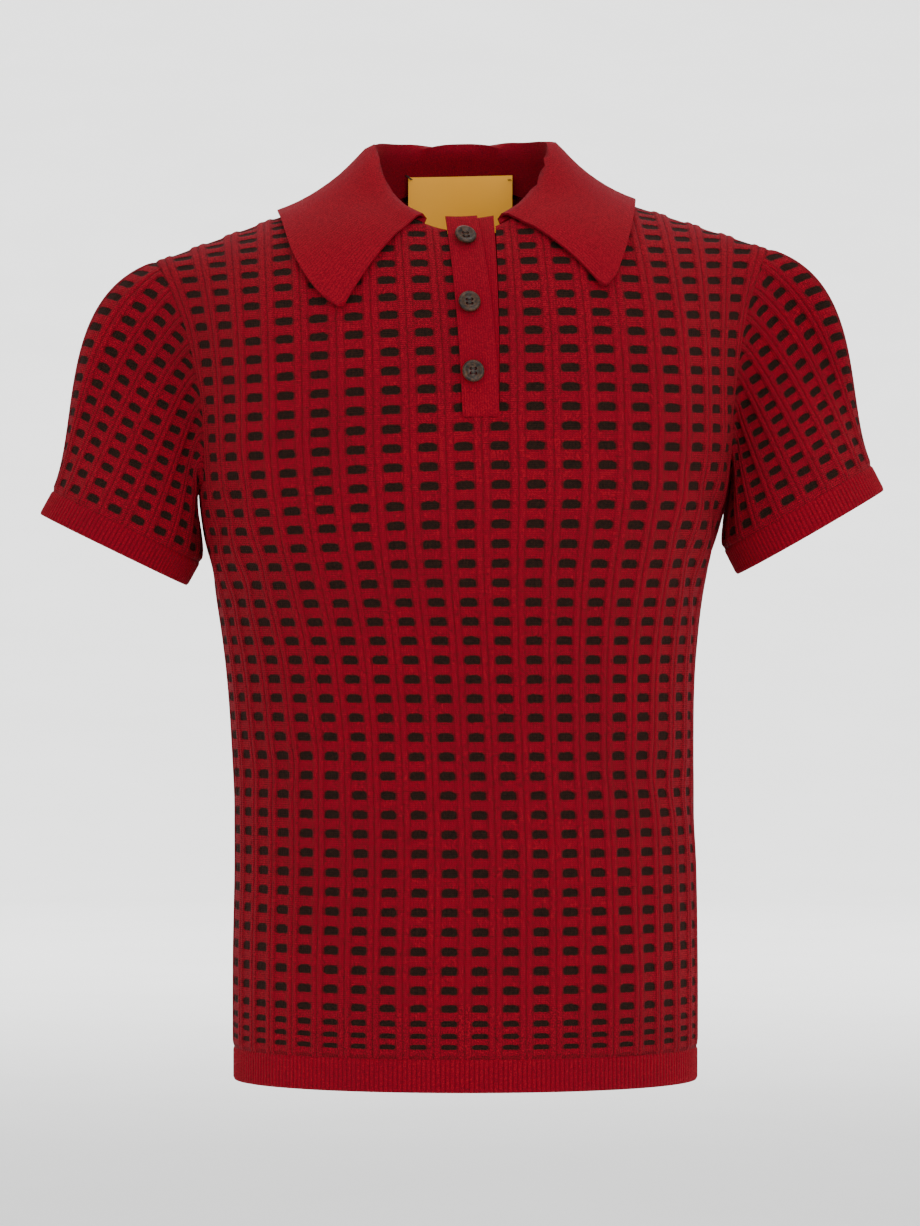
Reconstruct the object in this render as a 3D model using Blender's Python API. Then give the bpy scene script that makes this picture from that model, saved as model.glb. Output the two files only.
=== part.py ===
"""Knitted polo sweater, filled out as worn with nobody in it.

The garment faces -Y and its origin is at shoulder height, on the neck's centre line. Lengths in the tables are
millimetres and become metres when a mesh is made. Right and left are the wearer's: the right side is at -X.

A place on the front or the back is given by its wale, counted in ribs from the panel's centre line, and by how
far up it lies. Below the chest line the panels follow rings of the torso. Above it each wale is a curve that
climbs from the chest line to the shoulder seam, and the ones at the centre stop at the neck opening.
"""

import math

import bmesh
import bpy
import numpy as np
from mathutils import Vector
from mathutils.bvhtree import BVHTree

MM = 0.001

# ---- driving dimensions, in millimetres ----
KNIT_WALL = 1.6            # body and sleeve knit
BAND_WALL = 1.8            # rib of the hem and the cuffs
COLLAR_WALL = 2.0
STRIP_WALL = 1.5           # placket strips
LABEL_WALL = 1.0
SEAM_GAP = 0.3
ARMHOLE_GAP = 0.5          # a little more, because the sleeve's chords and the panel's differ
RIB_RAISE = 1.0            # how far the knit's broad ribs stand out
BAND_RIB_RAISE = 0.5
BAND_RIB_PITCH = 6.4       # one raised line for a few of the bands' fine ribs

CHEST_Z = -150.0           # line where the armhole starts
HEM_Z = -522.0
HEM_BAND = 19.0
UNDERARM_DROP = 28.0       # armhole's lowest point below the chest line
HALF_WALES = 10.75         # ribs from a panel's centre line to its side seam
ARMHOLE_WALE = 9.25
NECK_WALE = 3.5
RIB_PITCH = 18.0           # rib to rib where the knit isn't stretched
CLIMB = 0.62               # share of a wale's rise that its lower handle takes
ARRIVE = 0.60              # share of its run to the shoulder seam that its upper handle takes
SHOULDER_TIP = 180.0
SHOULDER_HEIGHT = 15.0
SHOULDER_SLOPE = 0.345
SHOULDER_TILT = 0.021      # the garment sits a little higher on its left
SHOULDER_Y = 8.0
NECK_HALF_WIDTH = 66.0
NECK_FRONT_DEPTH = 72.0
NECK_BACK_DEPTH = 52.0

# torso rings, hem to chest: flatness 0 is an ellipse, 0.5 a shape with a flat front
RING_COLUMNS = ("z", "half_width", "front", "back", "centre_x", "flatness", "twist")
RINGS = (
    (-522.0, 135.0, 103.0, 94.0, 2.0, 0.05, 17.0),
    (-450.0, 135.0, 102.0, 93.0, 2.0, 0.05, 17.0),
    (-388.0, 134.0, 100.0, 88.0, 2.0, 0.05, 17.0),
    (-330.0, 134.0, 98.0, 84.0, 0.5, 0.06, 16.5),
    (-270.0, 137.3, 101.0, 86.0, -1.0, 0.10, 15.5),
    (-229.0, 143.2, 107.0, 91.0, -1.5, 0.20, 14.0),
    (-205.0, 149.0, 109.0, 95.0, -0.5, 0.28, 12.5),
    (-178.0, 154.0, 109.0, 98.0, 1.0, 0.36, 11.0),
    (-150.0, 156.0, 107.0, 99.0, 2.0, 0.42, 9.0),
)

SLEEVE_RIBS = 20
CUFF_BAND = 16.0
CUFF_CENTRE = (205.0, 2.0, -204.0)
CUFF_DROP = 5.0            # how much lower the right cuff hangs than the left
CUFF_HALF_WIDTH = 47.7
CUFF_HALF_DEPTH = 50.0
SLEEVE_LEAN = 28.0         # sleeve axis from the vertical, degrees
SLEEVE_CAP_PULL = 176.0    # how strongly the shoulder end holds its direction
SLEEVE_CUFF_PULL = 120.0
UNDERARM_PULL = 35.0
SEAM_ALLOWANCE = 2.6       # how far the sleeve follows the body's surface before it turns away

PLACKET_TOP = 0.045         # share of a wale's curve that the strips run past the neck seam
PLACKET_LIFT = 1.9         # the top strip's middle over the lower strip's
PLACKET_BOTTOM = 13.0      # above the chest line
PLACKET_HALF_WALES = 0.5
PLACKET_SPREAD = 4.3       # how far the neck end pulls each edge of the slit aside
BUTTON_DIAMETER = 12.7
BUTTON_THICK = 2.6
BUTTON_HOLE = 1.7
BUTTON_HOLE_RING = 1.75
BUTTON_PLACES = ((1.8, -35.0, 15.0), (4.1, -73.0, 8.0), (6.2, -112.0, 8.0))   # x, z, turn in degrees

COLLAR_END_ANGLE = 160.0   # from the centre back
COLLAR_STATIONS = 37
FOLD_RADIUS = 3.2
FOLD_HALF_WIDTH = 49.0
FOLD_FRONT_DEPTH = 66.0
FOLD_BACK_DEPTH = 42.0
FOLD_HEIGHT = 32.0
FOLD_DROP = 53.0
# where the fall's edge comes to rest on the body: near these places at the back and sides, and at these
# places as seen from the front at the points
# columns: angle from the centre back, x, y, z
RIGHT_EDGE_BEHIND = ((0.0, 0.0, 80.0, -27.0), (30.0, 46.0, 76.0, -31.0), (60.0, 84.0, 54.0, -26.0),
                     (90.0, 105.0, 22.0, -17.0), (112.0, 107.0, -2.0, -17.0))
LEFT_EDGE_BEHIND = ((0.0, 0.0, 80.0, -27.0), (30.0, 44.0, 76.0, -29.0), (60.0, 80.0, 54.0, -22.0),
                    (90.0, 98.0, 22.0, -12.0), (112.0, 100.0, -2.0, -12.0))
# columns: angle from the centre back, x, z
RIGHT_EDGE_BEFORE = ((125.0, 102.0, -27.0), (137.0, 97.0, -42.0), (148.0, 88.0, -58.0), (156.0, 78.0, -70.5),
                     (160.0, 68.5, -77.5))
LEFT_EDGE_BEFORE = ((125.0, 97.0, -26.0), (137.0, 93.0, -41.0), (148.0, 89.0, -52.0), (156.0, 85.5, -60.0),
                    (160.0, 80.5, -65.0))
COLLAR_SEAT = 4.6          # middle of the fall over the middle of the panel it lies on

LABEL_SIZE = (62.0, 34.0)
LABEL_TOP = (-1.0, 43.8, 11.5)
LABEL_LEAN = 7.0

COLOURS = {
    "red knit": (0.33, 0.008, 0.016, 1.0),
    "plain red knit": (0.36, 0.008, 0.018, 1.0),
    "brown button": (0.065, 0.038, 0.024, 1.0),
    "amber label": (0.98, 0.49, 0.045, 1.0),
}


def clear_scene():
    for thing in list(bpy.data.objects):
        bpy.data.objects.remove(thing, do_unlink=True)


def knit_material(name, roughness):
    material = bpy.data.materials.new(name)
    material.use_nodes = True
    shader = material.node_tree.nodes["Principled BSDF"]
    shader.inputs["Base Color"].default_value = COLOURS[name]
    shader.inputs["Roughness"].default_value = roughness
    shader.inputs["Metallic"].default_value = 0.0
    return material


def smoothstep(low, high, value):
    part = np.clip((np.asarray(value, float) - low) / (high - low), 0.0, 1.0)
    return part * part * (3.0 - 2.0 * part)


def through_rows(rows, column, at):
    """Reads one column of a table at any place between its rows, on a smooth curve through them."""
    places = np.array([row[0] for row in rows])
    values = np.array([row[column] for row in rows])
    slopes = np.gradient(values, places)
    at = np.clip(np.asarray(at, float), places[0], places[-1])
    row = np.clip(np.searchsorted(places, at, side="right") - 1, 0, len(places) - 2)
    step = places[row + 1] - places[row]
    t = (at - places[row]) / step
    rise = values[row] * (1 + 2 * t) * (1 - t) ** 2 + values[row + 1] * t * t * (3 - 2 * t)
    return rise + step * (slopes[row] * t * (1 - t) ** 2 - slopes[row + 1] * t * t * (1 - t))


# ---- the torso's rings ----
ARC_STEPS = np.linspace(0.0, math.pi / 2, 181)
ARC_SHARES = np.linspace(0.0, 1.0, 91)


def quarter(half_width, depth, flatness, turn):
    x = half_width * np.sin(turn)
    y = depth * np.cos(turn) * (1 + flatness * np.sin(turn) ** 2)
    return x, y


def quarter_at(half_width, depth, flatness, share):
    """Points a share of the way along a quarter ring, from its middle to its side, and the quarter's length."""
    x, y = quarter(half_width, depth, flatness, ARC_STEPS)
    run = np.concatenate(([0.0], np.cumsum(np.hypot(np.diff(x), np.diff(y)))))
    turn = np.interp(share * run[-1], run, ARC_STEPS)
    x, y = quarter(half_width, depth, flatness, turn)
    return x, y, run[-1]


def ring_points(z, wales, is_front):
    """Points of one torso ring at the given wales of the front or the back panel."""
    size = {name: float(through_rows(RINGS, i, z)) for i, name in enumerate(RING_COLUMNS)}
    flat = size["flatness"]
    front_run = quarter_at(size["half_width"], size["front"], flat, ARC_SHARES)[2]
    place = np.asarray(wales, float) / HALF_WALES + size["twist"] / front_run + (0.0 if is_front else 2.0)
    place = (place + 1.0) % 4.0 - 1.0
    on_front = place < 1.0
    offset = np.where(on_front, place, 2.0 - place)
    share = np.abs(offset)
    front_x, front_y, _ = quarter_at(size["half_width"], size["front"], flat, share)
    back_x, back_y, _ = quarter_at(size["half_width"], size["back"], flat, share)
    x = size["centre_x"] + np.sign(offset) * np.where(on_front, front_x, back_x)
    y = np.where(on_front, -front_y, back_y)
    return np.stack([x, y, np.full_like(x, z)], axis=-1)


# ---- the panels above the chest line ----
def shoulder_points(wales, is_front):
    """Where each wale reaches the shoulder seam, or would inside the neck opening."""
    across = np.abs(wales)
    inner = NECK_HALF_WIDTH * across / NECK_WALE
    outer = NECK_HALF_WIDTH + (SHOULDER_TIP - NECK_HALF_WIDTH) * (across - NECK_WALE) / (ARMHOLE_WALE - NECK_WALE)
    x = np.where(across < NECK_WALE, inner, outer)
    z = SHOULDER_HEIGHT - SHOULDER_SLOPE * (np.sqrt(x * x + 25.0**2) - 25.0)
    y = SHOULDER_Y + 40.0 * np.exp(-((x / 36.0) ** 2)) + (-0.5 if is_front else 0.5) * SEAM_GAP
    side = np.sign(wales) if is_front else -np.sign(wales)
    return np.stack([side * x, y, z], axis=-1)


def wale_curve(wales, is_front):
    """The four handles of each wale's curve from the chest line to the shoulder seam."""
    low = ring_points(CHEST_Z, wales, is_front)
    high = shoulder_points(wales, is_front)
    climb = np.zeros_like(low)
    climb[:, 2] = CLIMB * (high[:, 2] - low[:, 2])
    arrive = np.zeros_like(low)
    arrive[:, 1] = ARRIVE * (high[:, 1] - low[:, 1])
    return low, low + climb, high - arrive, high


def along(handles, t):
    t = np.asarray(t)[:, None]
    a, b, c, d = handles
    return a * (1 - t) ** 3 + 3 * b * t * (1 - t) ** 2 + 3 * c * t * t * (1 - t) + d * t**3


def neck_ends(handles, wales, is_front):
    """How far each wale runs: to the shoulder seam, or to the edge of the neck opening."""
    depth = NECK_FRONT_DEPTH if is_front else NECK_BACK_DEPTH
    low = np.zeros(len(wales))
    high = np.ones(len(wales))
    for _ in range(40):
        middle = (low + high) / 2
        p = along(handles, middle)
        outside = (p[:, 0] / NECK_HALF_WIDTH) ** 2 + ((p[:, 1] - SHOULDER_Y) / depth) ** 2 > 1.0
        low = np.where(outside, middle, low)
        high = np.where(outside, high, middle)
    return np.where(np.abs(wales) < NECK_WALE, low, 1.0)


def slit_spread(points, wales, share):
    """Pulls the two edges of the placket's slit apart towards the neck."""
    reach = np.where(np.abs(wales) < PLACKET_HALF_WALES, np.abs(wales) / PLACKET_HALF_WALES,
                     np.exp(-(np.abs(wales) - PLACKET_HALF_WALES) / 1.6))
    points[..., 0] += PLACKET_SPREAD * np.sign(wales) * reach * share
    return points


def panel_rows(wales, is_front, low_rows, high_rows):
    """The middle surface of a panel as rows of points from the hem band up, and the row at the chest line."""
    over = np.clip((np.abs(wales) - ARMHOLE_WALE) / (HALF_WALES - ARMHOLE_WALE), 0.0, 1.0)
    scoop = UNDERARM_DROP * np.sqrt(2 * over - over * over)
    bottom = HEM_Z + HEM_BAND + SEAM_GAP
    rows = []
    for part in np.linspace(0.0, 1.0, low_rows):
        zs = bottom + part * (CHEST_Z - scoop - bottom)
        rows.append(np.array([ring_points(z, [w], is_front)[0] for z, w in zip(zs, wales)]))
    handles = wale_curve(np.clip(wales, -ARMHOLE_WALE, ARMHOLE_WALE), is_front)
    ends = neck_ends(handles, wales, is_front)
    first = PLACKET_BOTTOM / (3 * CLIMB * (handles[3][:, 2] - CHEST_Z))
    for part in np.linspace(0.0, 1.0, high_rows):
        t = first + part * (ends - first)
        points = along(handles, t)
        rows.append(slit_spread(points, wales, part) if is_front else points)
    return np.array(rows)


def tilt(points):
    """Raises the garment's left shoulder and sleeve a little, and lowers the right."""
    points = np.array(points, float)
    points[..., 2] += SHOULDER_TILT * points[..., 0] * smoothstep(-260.0, -160.0, points[..., 2])
    return points


# ---- walls ----
def grid_normals(grid, closed):
    if closed:
        across = np.roll(grid, -1, axis=1) - np.roll(grid, 1, axis=1)
    else:
        across = np.gradient(grid, axis=1)
    up = np.gradient(grid, axis=0)
    normal = np.cross(across, up)
    return normal / np.maximum(np.linalg.norm(normal, axis=-1, keepdims=True), 1e-9)


def wall_object(name, grid, thickness, material, raised=None, keep=None, closed=False, normals=None):
    """A closed wall on a grid of middle points: a plain inside, and an outside raised where `raised` says."""
    rows, columns = grid.shape[:2]
    if normals is None:
        normals = grid_normals(grid, closed)
    lift = np.zeros((rows, columns)) if raised is None else raised
    outer = tilt(grid + normals * (thickness / 2 + lift[..., None]))
    inner = tilt(grid - normals * (thickness / 2))
    spans = columns if closed else columns - 1
    cells = [(r, c) for r in range(rows - 1) for c in range(spans) if keep is None or keep[r, c]]
    bm = bmesh.new()
    made = {}

    def vertex(layer, r, c):
        key = (layer, r, c % columns)
        if key not in made:
            made[key] = bm.verts.new(Vector((outer, inner)[layer][r, c % columns]) * MM)
        return made[key]

    sides = {}
    for r, c in cells:
        corners = ((r, c), (r, c + 1), (r + 1, c + 1), (r + 1, c))
        bm.faces.new([vertex(0, *corner) for corner in corners])
        bm.faces.new([vertex(1, *corner) for corner in reversed(corners)])
        for a, b in zip(corners, corners[1:] + corners[:1]):
            a = (a[0], a[1] % columns)
            b = (b[0], b[1] % columns)
            if (b, a) in sides:
                del sides[(b, a)]
            else:
                sides[(a, b)] = True
    for a, b in sides:
        bm.faces.new([vertex(0, *b), vertex(0, *a), vertex(1, *a), vertex(1, *b)])
    mesh = bpy.data.meshes.new(name)
    bm.to_mesh(mesh)
    bm.free()
    return finished(name, mesh, material)


def finished(name, mesh, material):
    mesh.materials.append(material)
    mesh.shade_smooth()
    mesh.set_sharp_from_angle(angle=math.radians(50))
    thing = bpy.data.objects.new(name, mesh)
    collection.objects.link(thing)
    return thing


def rib_lift(wales):
    return RIB_RAISE * (0.5 + 0.5 * np.cos(2 * math.pi * np.asarray(wales)))


# ---- front and back ----
def panel_wales():
    inner = np.arange(-10.5, 10.6, 0.5)
    edge = HALF_WALES - 0.5 * SEAM_GAP / RIB_PITCH
    bends = np.array([3.2, 3.38, 3.47, ARMHOLE_WALE, 9.28, 9.36, 9.75, edge])
    return np.sort(np.concatenate([inner, bends, -bends]))


def panel(name, is_front, material):
    wales = panel_wales()
    low_rows = 9
    high_rows = 9
    grid = panel_rows(wales, is_front, low_rows, high_rows)
    keep = np.ones((len(grid) - 1, len(wales) - 1), bool)
    beyond = np.abs((wales[1:] + wales[:-1]) / 2) > ARMHOLE_WALE
    keep[low_rows - 1 :, beyond] = False
    if is_front:
        slit = np.abs((wales[1:] + wales[:-1]) / 2) < PLACKET_HALF_WALES
        keep[low_rows:, slit] = False
    raised = np.repeat(rib_lift(wales)[None, :], len(grid), axis=0)
    normals = grid_normals(grid, False)
    at_seam = np.abs(wales) >= NECK_WALE
    normals[-1, at_seam, 1] = 0.0
    normals[-1] /= np.maximum(np.linalg.norm(normals[-1], axis=1)[:, None], 1e-9)
    wall_object(name, grid, KNIT_WALL, material, raised, keep, normals=normals)
    return grid, wales, low_rows


# ---- the surface that collar, placket and buttons lie on ----
def resting_surface(panels):
    bm = bmesh.new()
    for grid, wales, low_rows in panels:
        upper = grid[low_rows - 1 :]
        inside = np.abs(wales) <= ARMHOLE_WALE + 0.01
        upper = tilt(upper[:, inside])
        verts = [[bm.verts.new(Vector(p)) for p in row] for row in upper]
        for r in range(len(verts) - 1):
            for c in range(len(verts[0]) - 1):
                bm.faces.new((verts[r][c], verts[r][c + 1], verts[r + 1][c + 1], verts[r + 1][c]))
    bm.normal_update()
    tree = BVHTree.FromBMesh(bm)
    bm.free()
    return tree


# ---- sleeves and cuffs ----
def armhole_line(side, is_front, count, inside):
    """A line from the shoulder seam to the underarm, some ribs inside the armhole's edge."""
    sense = side if is_front else -side
    wale = ARMHOLE_WALE - inside
    handles = wale_curve(np.array([sense * wale]), is_front)
    points = [along(handles, [t])[0] for t in np.linspace(1.0, 0.0, 60)]
    for turn in np.linspace(0.0, math.pi / 2, 40)[1:]:
        over = 1.0 - math.cos(turn)
        z = CHEST_Z - (UNDERARM_DROP + inside * RIB_PITCH) * math.sin(turn)
        place = wale + over * (HALF_WALES - 0.5 * SEAM_GAP / RIB_PITCH - wale)
        points.append(ring_points(z, [sense * place], is_front)[0])
    points = np.array(points)
    run = np.concatenate(([0.0], np.cumsum(np.linalg.norm(np.diff(points, axis=0), axis=1))))
    at = np.linspace(0.0, run[-1], count)
    return np.stack([np.interp(at, run, points[:, k]) for k in range(3)], axis=-1)


def armhole(side, is_front, count):
    """The armhole's edge, the way out of the panel at each of its points, and the panel's normals there."""
    edge = armhole_line(side, is_front, count, 0.0)
    inner = armhole_line(side, is_front, count, 0.08)
    down = np.gradient(edge, axis=0)
    down /= np.linalg.norm(down, axis=1)[:, None]
    away = edge - inner
    away -= down * np.sum(away * down, axis=1)[:, None]
    away /= np.linalg.norm(away, axis=1)[:, None]
    sense = 1.0 if (side > 0) == is_front else -1.0
    return edge, away, np.cross(down, away) * sense


def sleeve_frame(side):
    lean = math.radians(SLEEVE_LEAN)
    axis = np.array([side * math.sin(lean), 0.0, -math.cos(lean)])
    outward = np.array([side * math.cos(lean), 0.0, math.sin(lean)])
    centre = np.array([side * CUFF_CENTRE[0], CUFF_CENTRE[1], CUFF_CENTRE[2] + CUFF_DROP * min(side, 0)])
    return axis, outward, centre


def cuff_ring(side, back_from_end, turns):
    axis, outward, centre = sleeve_frame(side)
    middle = centre - axis * back_from_end
    reach = np.cos(turns)[:, None] * outward * CUFF_HALF_WIDTH
    depth = np.sin(turns)[:, None] * np.array([0.0, -1.0, 0.0]) * CUFF_HALF_DEPTH
    return middle + reach + depth


def sleeve(name, side, material):
    half = SLEEVE_RIBS
    front, front_away, front_normal = armhole(side, True, half + 1)
    back, back_away, back_normal = armhole(side, False, half + 1)
    start, away, normal = (
        np.concatenate([a, b[-2:0:-1]])
        for a, b in ((front, back), (front_away, back_away), (front_normal, back_normal))
    )
    for k in (0, half):
        start[k] = (front[k] + back[k]) / 2
        away[k] = (front_away[k] + back_away[k]) / 2
        normal[k] = (front_normal[k] + back_normal[k]) / 2
    turns = np.arange(2 * half) * math.pi / half
    end = cuff_ring(side, CUFF_BAND + SEAM_GAP, turns)
    axis, _, _ = sleeve_frame(side)
    blend = smoothstep(0.70, 1.0, (1 - np.cos(turns)) / 2)[:, None]
    low = np.array([side * 0.88, 0.0, 0.47])
    chord = np.linalg.norm(end - start, axis=1)[:, None]
    pull_out = away * chord * (1 - blend) * (SLEEVE_CAP_PULL / chord[0]) + low * UNDERARM_PULL * blend
    over_top = (np.cos(turns)[:, None] + 1) / 2
    steep = np.array([side * 0.34, 0.0, -0.94])
    drop = axis * (1 - 0.35 * over_top) + steep * 0.35 * over_top
    pull_in = drop * chord * (SLEEVE_CUFF_PULL / chord[0])
    rows = [start + away * (ARMHOLE_GAP + 0.6 * blend)]
    start = start + away * SEAM_ALLOWANCE
    for t in (0.0, 0.07, 0.18, 0.34, 0.52, 0.70, 0.86, 1.0):
        rows.append(start * (1 + 2 * t) * (1 - t) ** 2 + end * t * t * (3 - 2 * t)
                    + pull_out * t * (1 - t) ** 2 - pull_in * t * t * (1 - t))
    grid = np.array(rows)[::-1]
    normal = normal / np.linalg.norm(normal, axis=1)[:, None]
    if side > 0:
        grid = grid[:, ::-1]
        normal = normal[::-1]
    normals = grid_normals(grid, True)
    normals[-1] = normal
    raised = np.repeat(rib_lift(np.arange(2 * half) / 2)[None, :], len(grid), axis=0)
    raised[-1] = 0.0
    wall_object(name, grid, KNIT_WALL, material, raised, closed=True, normals=normals)
    return grid


def band_lift(count):
    return np.where(np.arange(count) % 2 == 0, BAND_RIB_RAISE, 0.0)


def cuff(name, side, material):
    count = 2 * round(math.pi * (CUFF_HALF_WIDTH + CUFF_HALF_DEPTH) / BAND_RIB_PITCH)
    turns = np.arange(count) * 2 * math.pi / count * (1 if side < 0 else -1)
    grid = np.array([cuff_ring(side, back, turns) for back in (0.0, CUFF_BAND)])
    raised = np.repeat(band_lift(count)[None, :], 2, axis=0)
    wall_object(name, grid, BAND_WALL, material, raised, closed=True)


def hem_band(material):
    length = sum(2 * quarter_at(RINGS[0][1], RINGS[0][k], RINGS[0][5], ARC_SHARES)[2] for k in (2, 3))
    half = round(length / BAND_RIB_PITCH)
    wales = (np.arange(half) + 0.5) / half * 2 * HALF_WALES - HALF_WALES
    rows = []
    for z in (HEM_Z, HEM_Z + HEM_BAND):
        rows.append(np.concatenate([ring_points(z, wales, True), ring_points(z, wales, False)]))
    grid = np.array(rows)
    raised = np.repeat(band_lift(2 * half)[None, :], 2, axis=0)
    wall_object("hem_band", grid, BAND_WALL, material, raised, closed=True)


# ---- placket, buttons, label ----
def strip_rows(left_wales, right_wales, columns, rows, lift, trim):
    """A strip on the slit between two edges given by their wales at the bottom and the top."""
    grid = []
    for part in np.linspace(0.0, 1.0, rows):
        left = left_wales[0] + (left_wales[1] - left_wales[0]) * part + trim
        right = right_wales[0] + (right_wales[1] - right_wales[0]) * part - trim
        wales = np.linspace(left, right, columns)
        handles = wale_curve(wales, True)
        ends = neck_ends(handles, wales, True) + PLACKET_TOP
        first = (PLACKET_BOTTOM + SEAM_GAP) / (3 * CLIMB * (handles[3][:, 2] - CHEST_Z))
        points = along(handles, first + part * (ends - first))
        grid.append(slit_spread(points, wales, part))
    grid = np.array(grid)
    return grid + grid_normals(grid, False) * lift


def collar_edge(tree, side, angle):
    """Where the fall's edge lies on the body at an angle from the centre back."""
    behind = RIGHT_EDGE_BEHIND if side < 0 else LEFT_EDGE_BEHIND
    before = RIGHT_EDGE_BEFORE if side < 0 else LEFT_EDGE_BEFORE
    if angle <= behind[-1][0]:
        x, y, z = (float(through_rows(behind, k, angle)) for k in (1, 2, 3))
        hit = tree.find_nearest(Vector((side * x, y, z)))
    else:
        first = collar_edge(tree, side, behind[-1][0])[0]
        table = ((behind[-1][0], side * first.x, first.z),) + before
        x, z = (float(through_rows(table, k, angle)) for k in (1, 2))
        hit = tree.ray_cast(Vector((side * x, -400.0, z)), Vector((0.0, 1.0, 0.0)))
        if hit[0] is None:
            hit = tree.find_nearest(Vector((side * x, 0.0, z)))
    return hit[0], outward_normal(hit[1], hit[0])


def outward_normal(normal, at):
    return normal if normal.dot(Vector((at.x, at.y, at.z + 150.0))) > 0 else -normal


def neck_base(tree, angle, side):
    """The collar seam, just inside the neck opening, at the height of the opening's edge."""
    turn = math.radians(angle)
    depth = NECK_BACK_DEPTH if angle < 90.0 else NECK_FRONT_DEPTH
    x = side * (NECK_HALF_WIDTH + 1.0) * math.sin(turn)
    y = SHOULDER_Y + (depth + 1.0) * math.cos(turn)
    height = 16.5 * math.cos(turn) - 4.5 + 4.0 * math.sin(turn) ** 2 + SHOULDER_TILT * x
    hit = tree.find_nearest(Vector((x, y, height)))
    inward = 2.0
    base = Vector((side * (NECK_HALF_WIDTH - inward) * math.sin(turn), SHOULDER_Y + (depth - inward) * math.cos(turn), 0.0))
    base.z = hit[0].z - 0.5
    return base


def collar_section(tree, signed_angle):
    """Points of the collar's middle from its seam, up the stand, over the fold and down the fall."""
    side = -1.0 if signed_angle < 0 else 1.0
    angle = abs(signed_angle)
    turn = math.radians(angle)
    base = neck_base(tree, angle, side)
    depth = FOLD_BACK_DEPTH if angle < 90.0 else FOLD_FRONT_DEPTH
    height = FOLD_HEIGHT - FOLD_DROP * float(smoothstep(95.0, 165.0, angle))
    half_width = FOLD_HALF_WIDTH + 8.0 * float(smoothstep(95.0, 140.0, angle))
    fold = Vector((side * half_width * math.sin(turn), SHOULDER_Y + depth * math.cos(turn), height))
    fold.z = max(fold.z + SHOULDER_TILT * fold.x, base.z + 5.0)
    edge, up = collar_edge(tree, side, angle)
    edge = edge + up * COLLAR_SEAT
    out = Vector((edge.x - fold.x, edge.y - fold.y, 0.0)).normalized()
    crown = fold + out * FOLD_RADIUS
    points = [base, base.lerp(fold, 0.5), fold - Vector((0, 0, FOLD_RADIUS * 0.9))]
    points[1] += out * 0.6
    for bend in (150.0, 90.0, 35.0):
        a = math.radians(bend)
        points.append(crown + out * FOLD_RADIUS * math.cos(a) + Vector((0, 0, FOLD_RADIUS * (math.sin(a) - 1.0))))
    start = points[-1] = lifted(tree, points[-1])
    fall = edge - start
    bulge = Vector((0.0, 0.0, (0.05 - 0.15 * math.sin(turn) ** 4) * fall.length))
    for share in (0.2, 0.4, 0.6, 0.8, 1.0):
        point = start + fall * share + bulge * (4 * share * (1 - share))
        points.append(lifted(tree, point))
    return points


def lifted(tree, point):
    """Moves a point of the fall out where it would lie closer to the body than the fall can."""
    place, normal, _, _ = tree.find_nearest(point)
    normal = outward_normal(normal, place)
    depth = (point - place).dot(normal)
    return point + normal * max(COLLAR_SEAT - depth, 0.0)


def untilt(points):
    """Undoes `tilt`, for points that were found on the tilted body."""
    points = np.array(points, float)
    points[..., 2] -= SHOULDER_TILT * points[..., 0] * smoothstep(-260.0, -160.0, points[..., 2])
    return points


def collar(tree, material):
    angles = np.linspace(-COLLAR_END_ANGLE, COLLAR_END_ANGLE, COLLAR_STATIONS)
    grid = np.array([[tuple(p) for p in collar_section(tree, a)] for a in angles])
    grid = untilt(grid.transpose(1, 0, 2))
    wall_object("collar", grid[:, ::-1], COLLAR_WALL, material)


def button(name, tree, place, material):
    x, z, turn = place
    hit = tree.ray_cast(Vector((x, -400.0, z)), Vector((0.0, 1.0, 0.0)))
    normal = outward_normal(hit[1], hit[0])
    seat = PLACKET_LIFT + STRIP_WALL / 2 + SEAM_GAP + BUTTON_THICK / 2
    seat += math.sin(math.radians(turn)) * BUTTON_DIAMETER / 2
    facing = Vector((math.sin(math.radians(turn)), -math.cos(math.radians(turn)), 0.0))
    facing = (normal + Vector((facing.x, 0.0, 0.0))).normalized()
    bm = bmesh.new()
    radius = BUTTON_DIAMETER / 2 * MM
    bmesh.ops.create_cone(bm, cap_ends=True, segments=24, radius1=radius, radius2=radius, depth=BUTTON_THICK * MM)
    rim = [e for e in bm.edges if abs(e.verts[0].co.z - e.verts[1].co.z) < 1e-9]
    bmesh.ops.bevel(bm, geom=rim, offset=0.6 * MM, segments=2, profile=0.5, affect="EDGES", material=-1)
    mesh = bpy.data.meshes.new(name)
    bm.to_mesh(mesh)
    bm.free()
    thing = finished(name, mesh, material)
    thing.location = (hit[0] + normal * seat) * MM
    thing.rotation_euler = facing.to_track_quat("Z", "Y").to_euler()
    for k in range(4):
        corner = math.radians(45 + 90 * k)
        bpy.ops.mesh.primitive_cylinder_add(vertices=8, radius=BUTTON_HOLE / 2 * MM, depth=4 * BUTTON_THICK * MM)
        cutter = bpy.context.object
        cutter.name = f"{name}_hole_{k + 1}"
        cutter.parent = thing
        cutter.location = (BUTTON_HOLE_RING * math.cos(corner) * MM, BUTTON_HOLE_RING * math.sin(corner) * MM, 0.0)
        cutter.hide_render = True
        cutter.display_type = "WIRE"
        for home in list(cutter.users_collection):
            home.objects.unlink(cutter)
        cutters.objects.link(cutter)
        cut = thing.modifiers.new(f"hole {k + 1}", "BOOLEAN")
        cut.object = cutter
        cut.operation = "DIFFERENCE"


def label(material):
    width, height = LABEL_SIZE
    lean = math.radians(LABEL_LEAN)
    rows = []
    for down in np.linspace(height, 0.0, 3):
        xs = LABEL_TOP[0] + np.linspace(width / 2, -width / 2, 5)
        y = LABEL_TOP[1] + down * math.sin(lean)
        z = LABEL_TOP[2] - down * math.cos(lean)
        rows.append(np.stack([xs, np.full(5, y), np.full(5, z)], axis=-1))
    wall_object("label", np.array(rows)[:, ::-1], LABEL_WALL, material)


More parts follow.
